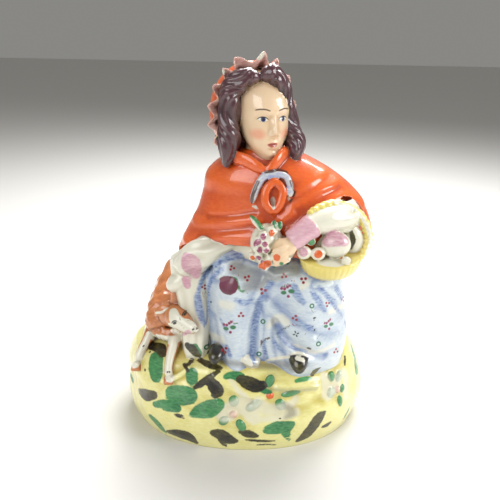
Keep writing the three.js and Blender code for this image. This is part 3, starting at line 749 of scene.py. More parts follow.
def dog_legs():
    near = [[-46.5, -25, 70], [-48.6, -31, 64], [-50, -37, 58], [-50.6, -41.5, 53], [-50.2, -44, 49]]
    far = [[-65, -12, 68], [-68, -18, 61], [-71.6, -23, 55], [-74, -26.5, 49]]
    yield "dog", limb(near, [[4.6, 4.6], [4, 4], [3.1, 3.2], [2.8, 3], [3, 3]], levels=50)
    yield "dog", limb(far, [[4.6, 4.6], [4, 4], [3.2, 3.2], [3.2, 3.2]], levels=50)
    yield "dog", limb([[-58, 34, 84], [-66, 36, 66], [-70, 38, 54]], [[10, 14], [8, 11], [5, 8]], relief=coat)
    for x, y, z in ((-75, -28, 45.5), (-50, -45, 47)):
        yield "dog", egg((x, y, z), (3.6, 4.4, 3))
        for toe in (-1, 0, 1):
            yield "dog", egg((x + 2 * toe, y - 3, z - 0.6), (1.3, 1.9, 1.6))
    yield "ground", limb([[-49, -45, 46.5], [-43, -44.5, 50], [-36, -42, 55]], [[2, 2], [2, 2.2], [1.6, 1.8]])


FORMS = (
    mound,
    skirt,
    shoes,
    cape,
    bodice,
    collar,
    bow,
    head,
    hair,
    hood,
    right_sleeve,
    left_sleeve,
    posy,
    basket,
    dog,
)

# Casting


def mesh_of(name, points, faces):
    mesh = bpy.data.meshes.new(name)
    mesh.vertices.add(len(points))
    mesh.vertices.foreach_set("co", np.ravel(points).astype(np.float32))
    mesh.loops.add(faces.size)
    mesh.loops.foreach_set("vertex_index", np.ravel(faces).astype(np.int32))
    mesh.polygons.add(len(faces))
    mesh.polygons.foreach_set("loop_start", np.arange(0, faces.size, 3, dtype=np.int32))
    mesh.update(calc_edges=True)
    return mesh


def joined(skins):
    """Several skins as one list of points and one of faces."""
    starts = np.cumsum([0] + [len(points) for points, _ in skins[:-1]])
    return np.vstack([points for points, _ in skins]), np.vstack([f + s for (_, f), s in zip(skins, starts)])


def changed(piece, kind, **settings):
    """Puts a modifier on the piece and keeps its result as the piece's mesh."""
    modifier = piece.modifiers.new(kind, kind)
    for name, value in settings.items():
        setattr(modifier, name, value)
    result = piece.evaluated_get(bpy.context.evaluated_depsgraph_get())
    mesh = bpy.data.meshes.new_from_object(result)
    piece.modifiers.clear()
    piece.data = mesh


def places_of(mesh):
    places = np.empty(len(mesh.vertices) * 3, np.float32)
    mesh.vertices.foreach_get("co", places)
    return places.reshape(-1, 3).astype(float)


def faces_of(mesh):
    corners = np.empty(len(mesh.loops), np.int32)
    mesh.loops.foreach_get("vertex_index", corners)
    return corners.reshape(-1, 3)


def set_places(mesh, places):
    mesh.vertices.foreach_set("co", places.astype(np.float32).ravel())
    mesh.update()


def neighbour_mean(mesh, values):
    """The mean of each point's neighbours."""
    ends = np.empty(len(mesh.edges) * 2, np.int32)
    mesh.edges.foreach_get("vertices", ends)
    a, b = ends.reshape(-1, 2).T
    count = np.bincount(ends, minlength=len(values))[:, None]
    sums = [np.bincount(a, c[b], len(values)) + np.bincount(b, c[a], len(values)) for c in values.T]
    return np.stack(sums, 1) / count


def fitted(places):
    """The casting brought into the solid model's box, with its foot flat on the ground."""
    low, high = (np.array(corner) / MM for corner in SOLID_BOX)
    low[2], high[2] = 0, high[2]
    inner = 0.15  # the glaze keeps this far inside the box
    own_low, own_high = places.min(0), places.max(0)
    share = (places - own_low) / (own_high - own_low)
    fit = low + inner * np.array([1, 1, 0]) + share * (high - low - inner * np.array([2, 2, 1]))
    fit[fit[:, 2] < 0.5, 2] = 0
    return fit


# Painting: which glaze each point wears, and the painted dabs

REGIONS = (
    ("ground", "leaf", "berry"),
    ("skirt", "shoe", "cuff"),
    ("cape", "frill", "hood"),
    ("skin", "hair", "sleeve"),
    ("posy", "basket", "fruit"),
    ("dog", "bow", "hollow"),
)
REACH = 4  # millimetres past which a distance stays the same


def gaps(places, skins):
    """How far each point is from some skins, up to the reach."""
    points, faces = joined(skins)
    tree = BVHTree.FromPolygons(points.tolist(), faces.tolist())
    low, high = points.min(0) - REACH, points.max(0) + REACH
    near = np.nonzero(((places > low) & (places < high)).all(1))[0]
    found = np.full(len(places), float(REACH))
    for i in near:
        gap = tree.find_nearest(places[i], REACH)[3]
        if gap is not None:
            found[i] = gap
    return found


def margins(places, skins):
    """For each region, how far inside its own glaze a point lies: positive inside and negative outside."""
    names = sorted({name for name, _ in skins})
    found = np.stack([gaps(places, [part for name, part in skins if name == wanted]) for wanted in names], 1)
    order = np.sort(found, 1)
    result = {}
    for i, name in enumerate(names):
        others = np.where(found[:, i] <= order[:, 0], order[:, 1], order[:, 0])
        result[name] = others - found[:, i]
    return result


def hollows(mesh, places, rounds=14):
    """How far each point lies under its surroundings: positive in a hollow, negative on a ridge."""
    normals = np.empty(len(mesh.vertices) * 3, np.float32)
    mesh.vertex_normals.foreach_get("vector", normals)
    smooth = places
    for _ in range(rounds):
        smooth = neighbour_mean(mesh, smooth)
    return ((smooth - places) * normals.reshape(-1, 3)).sum(1)


def keep(mesh, name, values):
    """Keeps three numbers at each point of the mesh, for the glaze to read."""
    field = mesh.attributes.new(name, "FLOAT_VECTOR", "POINT")
    field.data.foreach_set("vector", values.astype(np.float32).ravel())


def places_in_head(places):
    """Points in the head's own frame, the reverse of in_head."""
    return turned(turned(places - HEAD["centre"], "Z", -HEAD["turn"]), "X", -HEAD["nod"])


def eye_axes():
    """The camera's right, up and forward directions."""
    down, roll = math.radians(EYE["down"]), math.radians(EYE["roll"])
    forward = np.array([0, math.cos(down), -math.sin(down)])
    level_up = np.array([0, math.sin(down), math.cos(down)])
    right = math.cos(roll) * np.array([1, 0, 0]) + math.sin(roll) * level_up
    up = math.cos(roll) * level_up - math.sin(roll) * np.array([1, 0, 0])
    return right, up, forward


def sight(tree, u, v):
    """The point of the figure under a place in the 500 by 500 view, or nothing."""
    right, up, forward = eye_axes()
    film = EYE["lens"] / 36 * 500
    ray = forward + (u - 250) / film * right - (v - 250) / film * up
    hit = tree.ray_cast(Vector(EYE["place"]), Vector(ray).normalized())[0]
    return None if hit is None else np.array(hit)


def stroke_gap(places, tree, keys):
    """How far inside one brush stroke each point lies; keys are places in the view, with half widths in mm."""
    count = max(2, int(np.hypot(*np.diff(np.array(keys)[:, :2], axis=0).T).sum() / 1.2) + 1) if len(keys) > 1 else 1
    path = through(keys, np.linspace(0, 1, count)) if len(keys) > 1 else np.array(keys, float)
    found = np.full(len(places), -float(REACH))
    spots = [(sight(tree, u, v), half) for u, v, half in path]
    spots = [(spot, half) for spot, half in spots if spot is not None]
    for i, (spot, half) in enumerate(spots):
        after, wide = spots[min(i + 1, len(spots) - 1)]
        if np.linalg.norm(after - spot) > 6:
            after, wide = spot, half
        reach = max(half, wide) + REACH
        low, high = np.minimum(spot, after) - reach, np.maximum(spot, after) + reach
        near = np.nonzero(((places > low) & (places < high)).all(1))[0]
        run = after - spot
        along = np.clip((places[near] - spot) @ run / max(run @ run, 1e-9), 0, 1)
        gap = np.linalg.norm(places[near] - spot - along[:, None] * run, axis=1)
        found[near] = np.maximum(found[near], mix(half, wide, along) - gap)
    return found

# Brush strokes, as places in the view with half widths in millimetres

STROKES = {
    # pale: white over the mound's cream patches and the skirt's white; the strokes on the left knee and along a ridge
    # of the mound are painted highlight
    "pale": [
        [(216, 408, 4), (226, 413, 6), (240, 404, 5), (249, 410, 6.5), (254, 419, 4)],
        [(258, 403, 4), (270, 410, 4), (290, 405, 3), (296, 398, 2)],
        [(262, 419, 2), (276, 418, 2.5), (296, 412, 3)],
        [(324, 376, 3), (330, 394, 5), (344, 372, 3), (346, 396, 3)],
        # painted highlight along a ridge of the mound
        [(229, 377, 1.4), (238, 390, 1.8), (246, 398, 2.4)],
        # painted highlight on the left knee
        [(222, 304, 3), (230, 306, 3.5)],
        [(212, 336, 3), (222, 340, 3)],
        [(268, 326, 2), (278, 318, 3), (286, 322, 3)],
        [(300, 288, 2), (306, 284, 2.4)],
        [(330, 312, 2), (342, 306, 2.4)],
        [(296, 346, 2), (316, 352, 2), (334, 345, 2)],
    ],
    # painted shade: grey laid in the lap as painted shade and painted reflection, and under the skirt's hem and on the
    # mound as painted shade
    "shade": [
        [(236, 268, 4.5), (254, 276, 5.5), (274, 274, 5), (296, 271, 3.4)],
        [(246, 288, 3), (262, 284, 3)],
        [(222, 362, 2), (262, 366, 2.4), (284, 364, 3), (292, 370, 2)],
        [(262, 388, 1), (290, 391, 1.2), (316, 389, 1)],
        [(284, 404, 1.4), (292, 412, 3), (286, 418, 1.4)],
    ],
    "blue": [
        [(197.5, 296, 2.4), (199, 308, 2.8), (202, 318, 2.4), (205, 326, 1.2)],
        [(199, 290, 1.6), (204, 277, 1.9), (214, 266, 2), (228, 258, 2.4), (240, 256, 2.4)],
        [(209, 296, 0.9), (208, 310, 1.1), (206, 324, 0.8)],
        # painted highlight along the skirt's left fold, in the skirt's blue
        [(208, 290, 1), (213, 277, 1.8), (222, 269, 1.6)],
        [(272, 282, 1.6), (264, 292, 1.8), (259, 304, 2.2), (256, 318, 2.4), (253, 334, 2), (252, 350, 2), (253, 362, 2)],
        [(264, 340, 1), (265, 350, 1.3), (268, 361, 1.6)],
        [(273, 340, 1.1), (279, 348, 1.4), (285, 353, 0.9)],
        [(279, 334, 1), (286, 343, 1.4), (296, 349, 1.4), (306, 351, 0.8)],
        [(319, 287, 1.4), (328, 297, 1.6), (336, 308, 1.6), (342, 316, 1)],
        [(294, 287, 2.4), (298, 296, 2.8), (304, 303, 1.6)],
        [(312, 292, 1.5), (318, 300, 2.2), (325, 310, 1.6)],
        [(336, 288, 2.4), (342, 297, 2.6)],
        [(345, 322, 1.6), (348, 334, 1.6)],
        [(236, 300, 1.4), (246, 303, 1.8), (252, 299, 1.4)],
        [(227, 346, 1.2), (230, 356, 1.6)],
        [(220, 318, 1), (226, 330, 1.4)],
        [(296, 318, 1.4), (306, 326, 1.8), (316, 330, 1.2)],
    ],
    "green": [
        [(156, 358, 5.4), (155.5, 367, 5.9), (156, 375, 5.2)],
        [(192, 374, 4.2), (192, 379, 4.2)],
        [(172, 393, 5), (181, 395, 7), (188, 396, 6.4)],
        [(155, 404.5, 2.2), (163, 404, 3), (172, 404, 2.6)],
        [(165, 408, 2.4), (178, 409, 2.4)],
        [(190, 416, 1), (198, 412, 4.2), (209, 409, 6), (218, 405, 4.4)],
        [(225, 377, 1.6), (232, 375, 2.6), (240, 377, 3.4)],
        [(259, 388, 1.8), (265, 391, 2), (270, 392, 1.4)],
        [(151, 417, 2.6), (157, 423, 3.4), (163, 430, 2.6), (166, 433, 1)],
        [(267, 430, 3), (276, 428, 4.6), (286, 427, 4.4), (292, 424, 2.4)],
        [(286, 433, 3), (289, 440, 1.2)],
        [(296, 381, 1.2), (304, 379, 1.7), (312, 378, 1)],
        [(195, 347, 2.4), (198, 353, 2.8)],
        [(351, 345, 2), (355, 358, 3), (357, 372, 2.4)],
        [(349, 409, 1.6), (344, 418, 1.6)],
        [(129, 371, 1.8), (133, 381, 1.8)],
        [(231, 277, 0.6), (236, 279, 0.8), (238, 285, 0.8), (240, 290, 0.8), (247, 293, 0.7)],
        [(250.5, 215.5, 0.9), (256, 219, 1.7), (261.5, 227, 1.5)],
        [(274.5, 221, 1.2), (275, 227, 1.4)],
        [(279.5, 222, 1.2), (280.5, 227, 1.4)],
        [(274, 266.5, 1.2)],
        [(281.5, 264, 1.2)],
        [(287.5, 263.5, 1.2)],
        [(311.7, 242.5, 2.3)],
    ],
    "dark": [
        # dark paint under the dog's chest, also painted shade in the hollow there
        [(153, 346, 3.6), (160, 348, 4.2), (163, 354, 3)],
        [(187, 345, 2), (192, 349, 3), (198, 355, 2.2)],
        [(139, 391, 2), (146, 395, 4.2), (154, 395, 3)],
        [(187, 366, 1.2), (192, 360, 1.6)],
        [(200, 360, 1.8), (208, 364, 2.4), (216, 367, 2.2), (222, 368, 1)],
        [(184, 364, 1.2), (188, 371, 1.2)],
        [(219, 371, 1.2), (210, 377, 2), (202, 383, 2.4), (194, 388, 1.4)],
        [(211, 379, 2.8), (215, 387, 4.8), (219, 392, 3.2), (214, 396, 2)],
        [(240, 379, 2.8), (249, 383, 4.6), (257, 386, 4.2), (264, 385, 2.6)],
        [(168, 432, 1.8), (178, 434, 4.2), (188, 437, 4.4), (197, 443, 1.4)],
        [(213, 433, 2.4), (221, 435, 4.4), (230, 440, 3.8), (237, 441, 1.2)],
        [(222, 440, 3), (225, 446, 1.4)],
        [(240, 432, 1.4), (248, 434, 3), (257, 436, 1.4)],
        [(245, 440, 0.8), (260, 441, 1.1), (275, 441, 0.6)],
        [(256, 445, 0.5), (266, 444.5, 0.9), (278, 445, 0.4)],
        [(297, 441, 1.4), (305, 436, 4), (312, 428, 4.4), (319, 418, 3.8), (325, 412, 1)],
        [(322, 427, 1), (327, 425, 1.8), (331, 422, 1)],
        [(312, 375, 1.4), (315, 371, 2.6), (320, 367, 1.4)],
        [(358, 364, 1.2), (358, 374, 1.4)],
        [(345, 357, 1.1), (345, 364, 1.1)],
        [(174, 415, 0.8), (180, 416, 1.6), (185, 418, 0.8)],
        [(291.5, 358, 0.8), (296, 365, 1.6), (300, 369, 1.8), (305, 363, 1.6), (308, 358, 0.7)],
        [(208, 352, 1.4), (213, 356, 1.6), (218, 359, 1.4)],
        [(292.5, 261, 0.9)],
        # painted shade in the recess behind the basket's handle
        [(351, 232, 1.2), (353, 240, 1.7), (351, 248, 1.2)],
    ],
    "white": [
        [(173, 312, 3), (175, 320, 4.6), (181, 326, 5.4), (188, 327, 5), (196, 329, 3.4)],
        [(171, 326, 2.6), (176, 331, 2.8)],
        [(148, 334, 2), (156, 337, 2.8), (164, 339, 3), (172, 340, 2.8), (180, 337, 2.8), (184, 334, 1.8)],
        [(174, 344, 3), (170, 356, 3), (168, 368, 3), (170, 378, 3)],
        [(147, 338, 2.4), (143, 348, 3), (138, 358, 3.4), (135, 364, 3)],
        [(175, 291, 0.9), (178, 290.5, 0.9)],
        [(156, 313, 0.9), (162, 312, 0.8), (168, 308, 0.7)],
        [(243, 360, 1.8), (248, 362, 2.4), (251, 365, 1.4)],
        [(266, 361, 0.8), (278, 358, 1.2), (289, 357, 1)],
        [(297, 358, 1.5), (303, 360, 1.5)],
        [(291, 354, 0.8), (299, 353, 1.1), (308, 356, 0.8)],
        [(253, 205, 1.2), (257, 208, 1)],
        [(288.5, 199, 1.2), (291, 196, 1)],
        [(272.5, 197, 1), (273, 202.5, 1.7), (273.5, 208, 0.9)],
        # painted highlight along the handle's outer rim
        [(335, 202.5, 1), (351.7, 207.5, 1.2), (361.7, 216.7, 1.2), (368.3, 230, 1.3), (370.8, 240, 1.3), (366.7, 253, 1.1)],
        [(238, 55, 3), (250, 52, 4), (260, 55, 3)],
        # painted highlights on two tips of the frill
        [(223, 72, 1.4), (220, 76, 1.2)],
        [(206, 88, 1.4), (209, 90, 1.2)],
    ],
    "plum": [[(226.6, 285, 6), (228.8, 285.6, 6)]],
    "rose": [
        [(186, 256, 2.4), (191, 264, 6.2), (195, 272, 4), (197, 277, 1.4)],
        [(186, 279, 2.8), (187, 285, 2.6)],
        [(328, 240, 4.2), (338, 238, 5), (345, 241, 3)],
        [(303.5, 252.5, 2.8)],
        [(189, 332, 1.6), (183, 334, 1.4)],
    ],
    "magenta": [
        [(263.3, 236.7, 2)],
        [(258, 241.7, 1.9), (255, 244, 1.4)],
        [(265, 245, 2)],
        [(260, 250, 2)],
        [(266.7, 251, 1.7)],
        [(258.3, 258, 1.7)],
        [(262, 262, 1.2)],
    ],
    "orange": [
        [(271.7, 233.3, 2.1)],
        [(276.7, 257.5, 2.2)],
        [(262, 267, 2.4), (268, 264, 2.4)],
        [(252.5, 258.3, 1.7)],
        [(318.3, 254.5, 2.6)],
        [(342, 258.5, 1.2)],
        [(213, 306.5, 0.9), (215, 307, 0.7)],
    ],
    "brown": [
        # brown round the bow: a painted outline and painted shadow under the raised band
        [(250.5, 205, 1), (253, 194, 1.2), (258, 182, 1)],
        [(266, 172, 1), (278, 170.5, 1.2), (288, 173, 1)],
        [(291, 181, 1), (294, 192, 1.1), (290, 202, 0.8)],
        [(281, 330, 0.5), (286, 327.5, 0.6), (290, 325.5, 0.4)],
        [(260, 341, 0.6), (266, 339, 0.8), (272, 337, 0.5)],
        [(260, 347, 0.5), (263, 340, 0.7)],
        [(308, 348, 1), (310, 349, 0.9)],
    ],
}

MOTIFS = [
    # kind, place in the view, size and turn in degrees
    ("dots", 232, 268, 1, 20),
    ("dots", 247, 278, 1.1, 70),
    ("dots", 263, 291, 1.25, 40),
    ("dots", 284, 276, 1, 10),
    ("dots", 303.5, 280, 1.2, 60),
    ("dots", 241, 315, 1.1, 0),
    ("dots", 224.5, 350, 1.2, 80),
    ("dots", 336, 351, 1.1, 0),
    ("dots", 295, 318, 1.1, 100),
    ("dots", 327.5, 304, 1, 50),
    ("dots", 343, 299, 1, 90),
    ("dots", 204, 287, 0.9, 90),
    ("sprig", 230, 329, 1.15, 0),
    ("sprig", 288, 293, 1.15, 0),
    ("sprig", 329, 326, 1, 0),
    ("ring", 312, 306, 1.05, 0),
    ("ring", 263, 321.5, 1.05, 0),
    ("ring", 318.5, 344, 1.1, 0),
    ("ring", 259, 354, 1.1, 0),
    ("ring", 207, 347, 1.2, 0),
    ("cross", 296, 334, 1.1, 20),
    ("tick", 314.5, 318, 1, 10),
    ("tick", 314.5, 330, 0.8, 60),
    ("tick", 211, 302, 0.8, 90),
    ("tick", 143.5, 346, 0.9, 40),
    ("tick", 150, 352, 0.8, 30),
    ("tick", 145, 370, 1, 90),
    ("tick", 167.3, 372, 0.7, 80),
    ("tick", 169.6, 372, 0.7, 100),
    ("tick", 193, 329.5, 0.9, 40),
    ("tick", 197, 328.5, 0.8, 80),
    ("eye", 174.4, 322.8, 1.1, 25),
    ("eye", 184.8, 313.5, 1, 50),
    ("tick", 280, 418.5, 0.8, 0),
]
KINDS = ("dots", "sprig", "ring", "cross", "tick", "eye")
MOTIF_REACH = 6  # millimetres from a motif's middle within which it may be drawn


def motif_fields(places, tree):
    """For each point, its place in the frame of the nearest motif, how far off that is, and its kind."""
    right, up, _ = eye_axes()
    near = np.full(len(places), 99.0)
    frame_x, frame_y, kinds = np.full(len(places), 9.0), np.full(len(places), 9.0), np.zeros(len(places))
    for kind, u, v, size, spin in MOTIFS:
        spot = sight(tree, u, v)
        if spot is None:
            raise RuntimeError(f"the {kind} at {u}, {v} lies off the figure")
        off = places - spot
        gap = np.linalg.norm(off, axis=1)
        closer = gap < near
        near[closer] = gap[closer]
        c, s = math.cos(math.radians(spin)), math.sin(math.radians(spin))
        a, b = off[closer] @ right / size, off[closer] @ up / size
        frame_x[closer], frame_y[closer] = a * c + b * s, b * c - a * s
        kinds[closer] = KINDS.index(kind) + 1
    return np.stack([frame_x, frame_y, near], 1), np.stack([kinds, kinds * 0, kinds * 0], 1)


# The painted and glazed surface


class Term:
    """A number that varies over the surface: arithmetic on it adds Math nodes."""

    def __init__(self, glaze, socket):
        self.glaze = glaze
        self.socket = socket

    def do(self, operation, *others, clamp=False):
        settings = dict(operation=operation, use_clamp=clamp)
        made = self.glaze.node("ShaderNodeMath", settings, *others)
        return Term(self.glaze, made.outputs[0])

    def __add__(self, other):
        return self.do("ADD", self, other)

    __radd__ = __add__

    def __sub__(self, other):
        return self.do("SUBTRACT", self, other)

    def __rsub__(self, other):
        return self.do("SUBTRACT", other, self)

    def __mul__(self, other):
        return self.do("MULTIPLY", self, other)

    __rmul__ = __mul__

    def __truediv__(self, other):
        return self.do("DIVIDE", self, other)

    def most(self, other):
        return self.do("MAXIMUM", self, other)

    def least(self, other):
        return self.do("MINIMUM", self, other)

    def squared(self):
        return self * self

    def root(self):
        return self.do("SQRT", self)

    def size(self):
        return self.do("ABSOLUTE", self)

    def edge(self, soft, at=0):
        """0 well below a level and 1 well above it, over a soft border."""
        return self.do("MULTIPLY_ADD", self, 1 / soft, 0.5 - at / soft, clamp=True)


class Glaze:
    """A material under way: node() adds a node, its settings first and then its inputs."""

    def __init__(self, name):
        self.material = bpy.data.materials.new(name)
        self.material.use_nodes = True
        self.tree = self.material.node_tree
        self.tree.nodes.clear()
        self.places = self.node("ShaderNodeTexCoord").outputs["Object"]
        self.read = {}

    def node(self, kind, settings=None, *inputs, **named):
        made = self.tree.nodes.new(kind)
        for name, value in (settings or {}).items():
            setattr(made, name, value)
        for socket, value in zip(made.inputs, inputs):
            self.feed(socket, value)
        for name, value in named.items():
            name = name.replace("_", " ")
            socket = next(s for s in made.inputs if s.name == name and s.enabled)
            self.feed(socket, value)
        return made

    def feed(self, socket, value):
        if isinstance(value, Term):
            value = value.socket
        if isinstance(value, bpy.types.NodeSocket):
            self.tree.links.new(value, socket)
        elif socket.type == "RGBA" and len(value) == 3:
            socket.default_value = (*value, 1)
        else:
            socket.default_value = value

    def field(self, group, channel):
        """One channel of a vector attribute of the mesh."""
        if group not in self.read:
            source = self.node("ShaderNodeAttribute", dict(attribute_type="GEOMETRY", attribute_name=group))
            self.read[group] = self.node("ShaderNodeSeparateXYZ", None, source.outputs["Vector"])
        return Term(self, self.read[group].outputs[channel])

    def noise(self, size, detail=2, stretch=(1, 1, 1), shift=0):
        """Smooth noise about 0.5, its cells so many millimetres across."""
        scale = [1 / (MM * size * s) for s in stretch]
        turn = dict(operation="MULTIPLY_ADD")
        moved = self.node("ShaderNodeVectorMath", turn, self.places, scale, (shift, shift * 1.7, shift * 0.6))
        made = self.node("ShaderNodeTexNoise", dict(), Vector=moved.outputs[0], Scale=1.0, Detail=float(detail))
        return Term(self, made.outputs["Fac"])

    def blend(self, share, under, over):
        """One colour laid over another."""
        made = self.node("ShaderNodeMix", dict(data_type="RGBA"), Factor=share, A=under, B=over)
        return next(s for s in made.outputs if s.enabled)


def linear(colour):
    """A colour as it looks on a screen, as the linear light that Blender mixes."""
    return tuple(c / 12.92 if c <= 0.04045 else ((c + 0.055) / 1.055) ** 2.4 for c in colour)


def region_of(name):
    for i, names in enumerate(REGIONS):
        if name in names:
            return f"region_{i}", names.index(name)
    raise ValueError(f"no region of the glaze is called {name}")


def dab_of(name):
    i = list(STROKES).index(name)
    return f"dabs_{i // 3}", i % 3


def painted_face(glaze, paints, colour, skin):
    """Cheeks, lips, brows and eyes of a calm, plain face, in the head's own frame."""
    x, y, z = (glaze.field("face", i) for i in range(3))
    front = skin * (y * -1).edge(3, 9)
    side = x.size()

    def oval(across, up, wide, tall, soft):
        gap = (((side - across) / wide).squared() + ((z - up) / tall).squared()).root()
        return (1 - gap).edge(soft)

    def line(height, bend, middle, reach, half):
        """A painted line that arches over the eye."""
        off = side - middle
        rise = (z - height + off.squared() * bend).size()
        return (half - rise).edge(0.25) * (reach - off.size()).edge(0.8)

    eye = (1 - ((side - 6.3) / 2.9).squared() - ((z - 2.3) / 1.35).size()).edge(0.3)
    colour = glaze.blend(front * oval(8.6, -6.4, 3.4, 3, 0.9) * 0.6, colour, tuple(paints.blush))
    colour = glaze.blend(front * oval(0, -12.5, 3.1, 1.5, 0.3) * 0.85, colour, tuple(paints.lips))
    colour = glaze.blend(front * line(-12.5, -0.03, 0, 2.9, 0.16), colour, tuple(paints.plum))
    colour = glaze.blend(front * eye, colour, tuple(paints.white))
    colour = glaze.blend(front * eye * oval(6.3, 2.45, 1.35, 1.35, 0.2), colour, tuple(paints.iris))
    colour = glaze.blend(front * eye * oval(6.3, 2.45, 0.65, 0.65, 0.25), colour, tuple(paints.ink))
    colour = glaze.blend(front * line(3.75, 0.15, 6.3, 3.1, 0.3), colour, tuple(paints.ink))
    colour = glaze.blend(front * line(0.95, -0.11, 6.3, 2.4, 0.1) * 0.6, colour, tuple(paints.brown))
    return glaze.blend(front * line(8.3, 0.06, 6.6, 3.9, 0.42) * 0.9, colour, tuple(paints.brown))


def painted_motifs(glaze, paints, colour):
    """The small printed motifs, each in its own frame."""
    a, b, near = (glaze.field("motif_frame", i) for i in range(3))
    kind = glaze.field("motif_kind", 0)
    close = (MOTIF_REACH - near).edge(0.5)

    def drawn(name, share):
        same = 0.5 - (kind - (KINDS.index(name) + 1)).size()
        return share * same.edge(0.2) * close

    def spot(x, y, wide, tall=None):
        gap = (((a - x) / wide).squared() + ((b - y) / (tall or wide)).squared()).root()
        return (1 - gap).edge(0.45)

    def several(places, size):
        share = spot(*places[0], size)
        for place in places[1:]:
            share = share.most(spot(*place, size))
        return share

    far = (a.squared() + b.squared()).root()
    ring = (0.42 - (far - 1.15).size()).edge(0.3)
    cross = (0.36 - a.size().least(b.size())).edge(0.3) * (1.9 - far).edge(0.5) * (far - 0.5).edge(0.3)
    tri = several([(0, 1.15), (-1.15, -0.6), (1.15, -0.6)], 0.78)
    leaves = spot(-2.3, 0.1, 1.5, 1.1).most(spot(1.7, 1, 1.7, 1.2))
    buds = several([(0.2, -1.9), (-0.4, 3.3), (-1.8, 2.2), (0.8, 4.2), (-3.4, 2.4)], 0.85)
    lid = (0.35 - (b - 1.1 + a.squared() * 0.22).size()).edge(0.25) * (1.9 - a.size()).edge(0.4)
    colour = glaze.blend(drawn("dots", tri), colour, tuple(paints.red))
    colour = glaze.blend(drawn("sprig", leaves), colour, tuple(paints.green))
    colour = glaze.blend(drawn("sprig", buds), colour, tuple(paints.magenta))
    colour = glaze.blend(drawn("ring", ring), colour, tuple(paints.green))
    colour = glaze.blend(drawn("cross", cross), colour, tuple(paints.green_deep))
    colour = glaze.blend(drawn("tick", spot(0, 0, 1, 0.6)), colour, tuple(paints.ink))
    return glaze.blend(drawn("eye", spot(0, -0.2, 1.3, 0.85).most(lid)), colour, tuple(paints.ink))


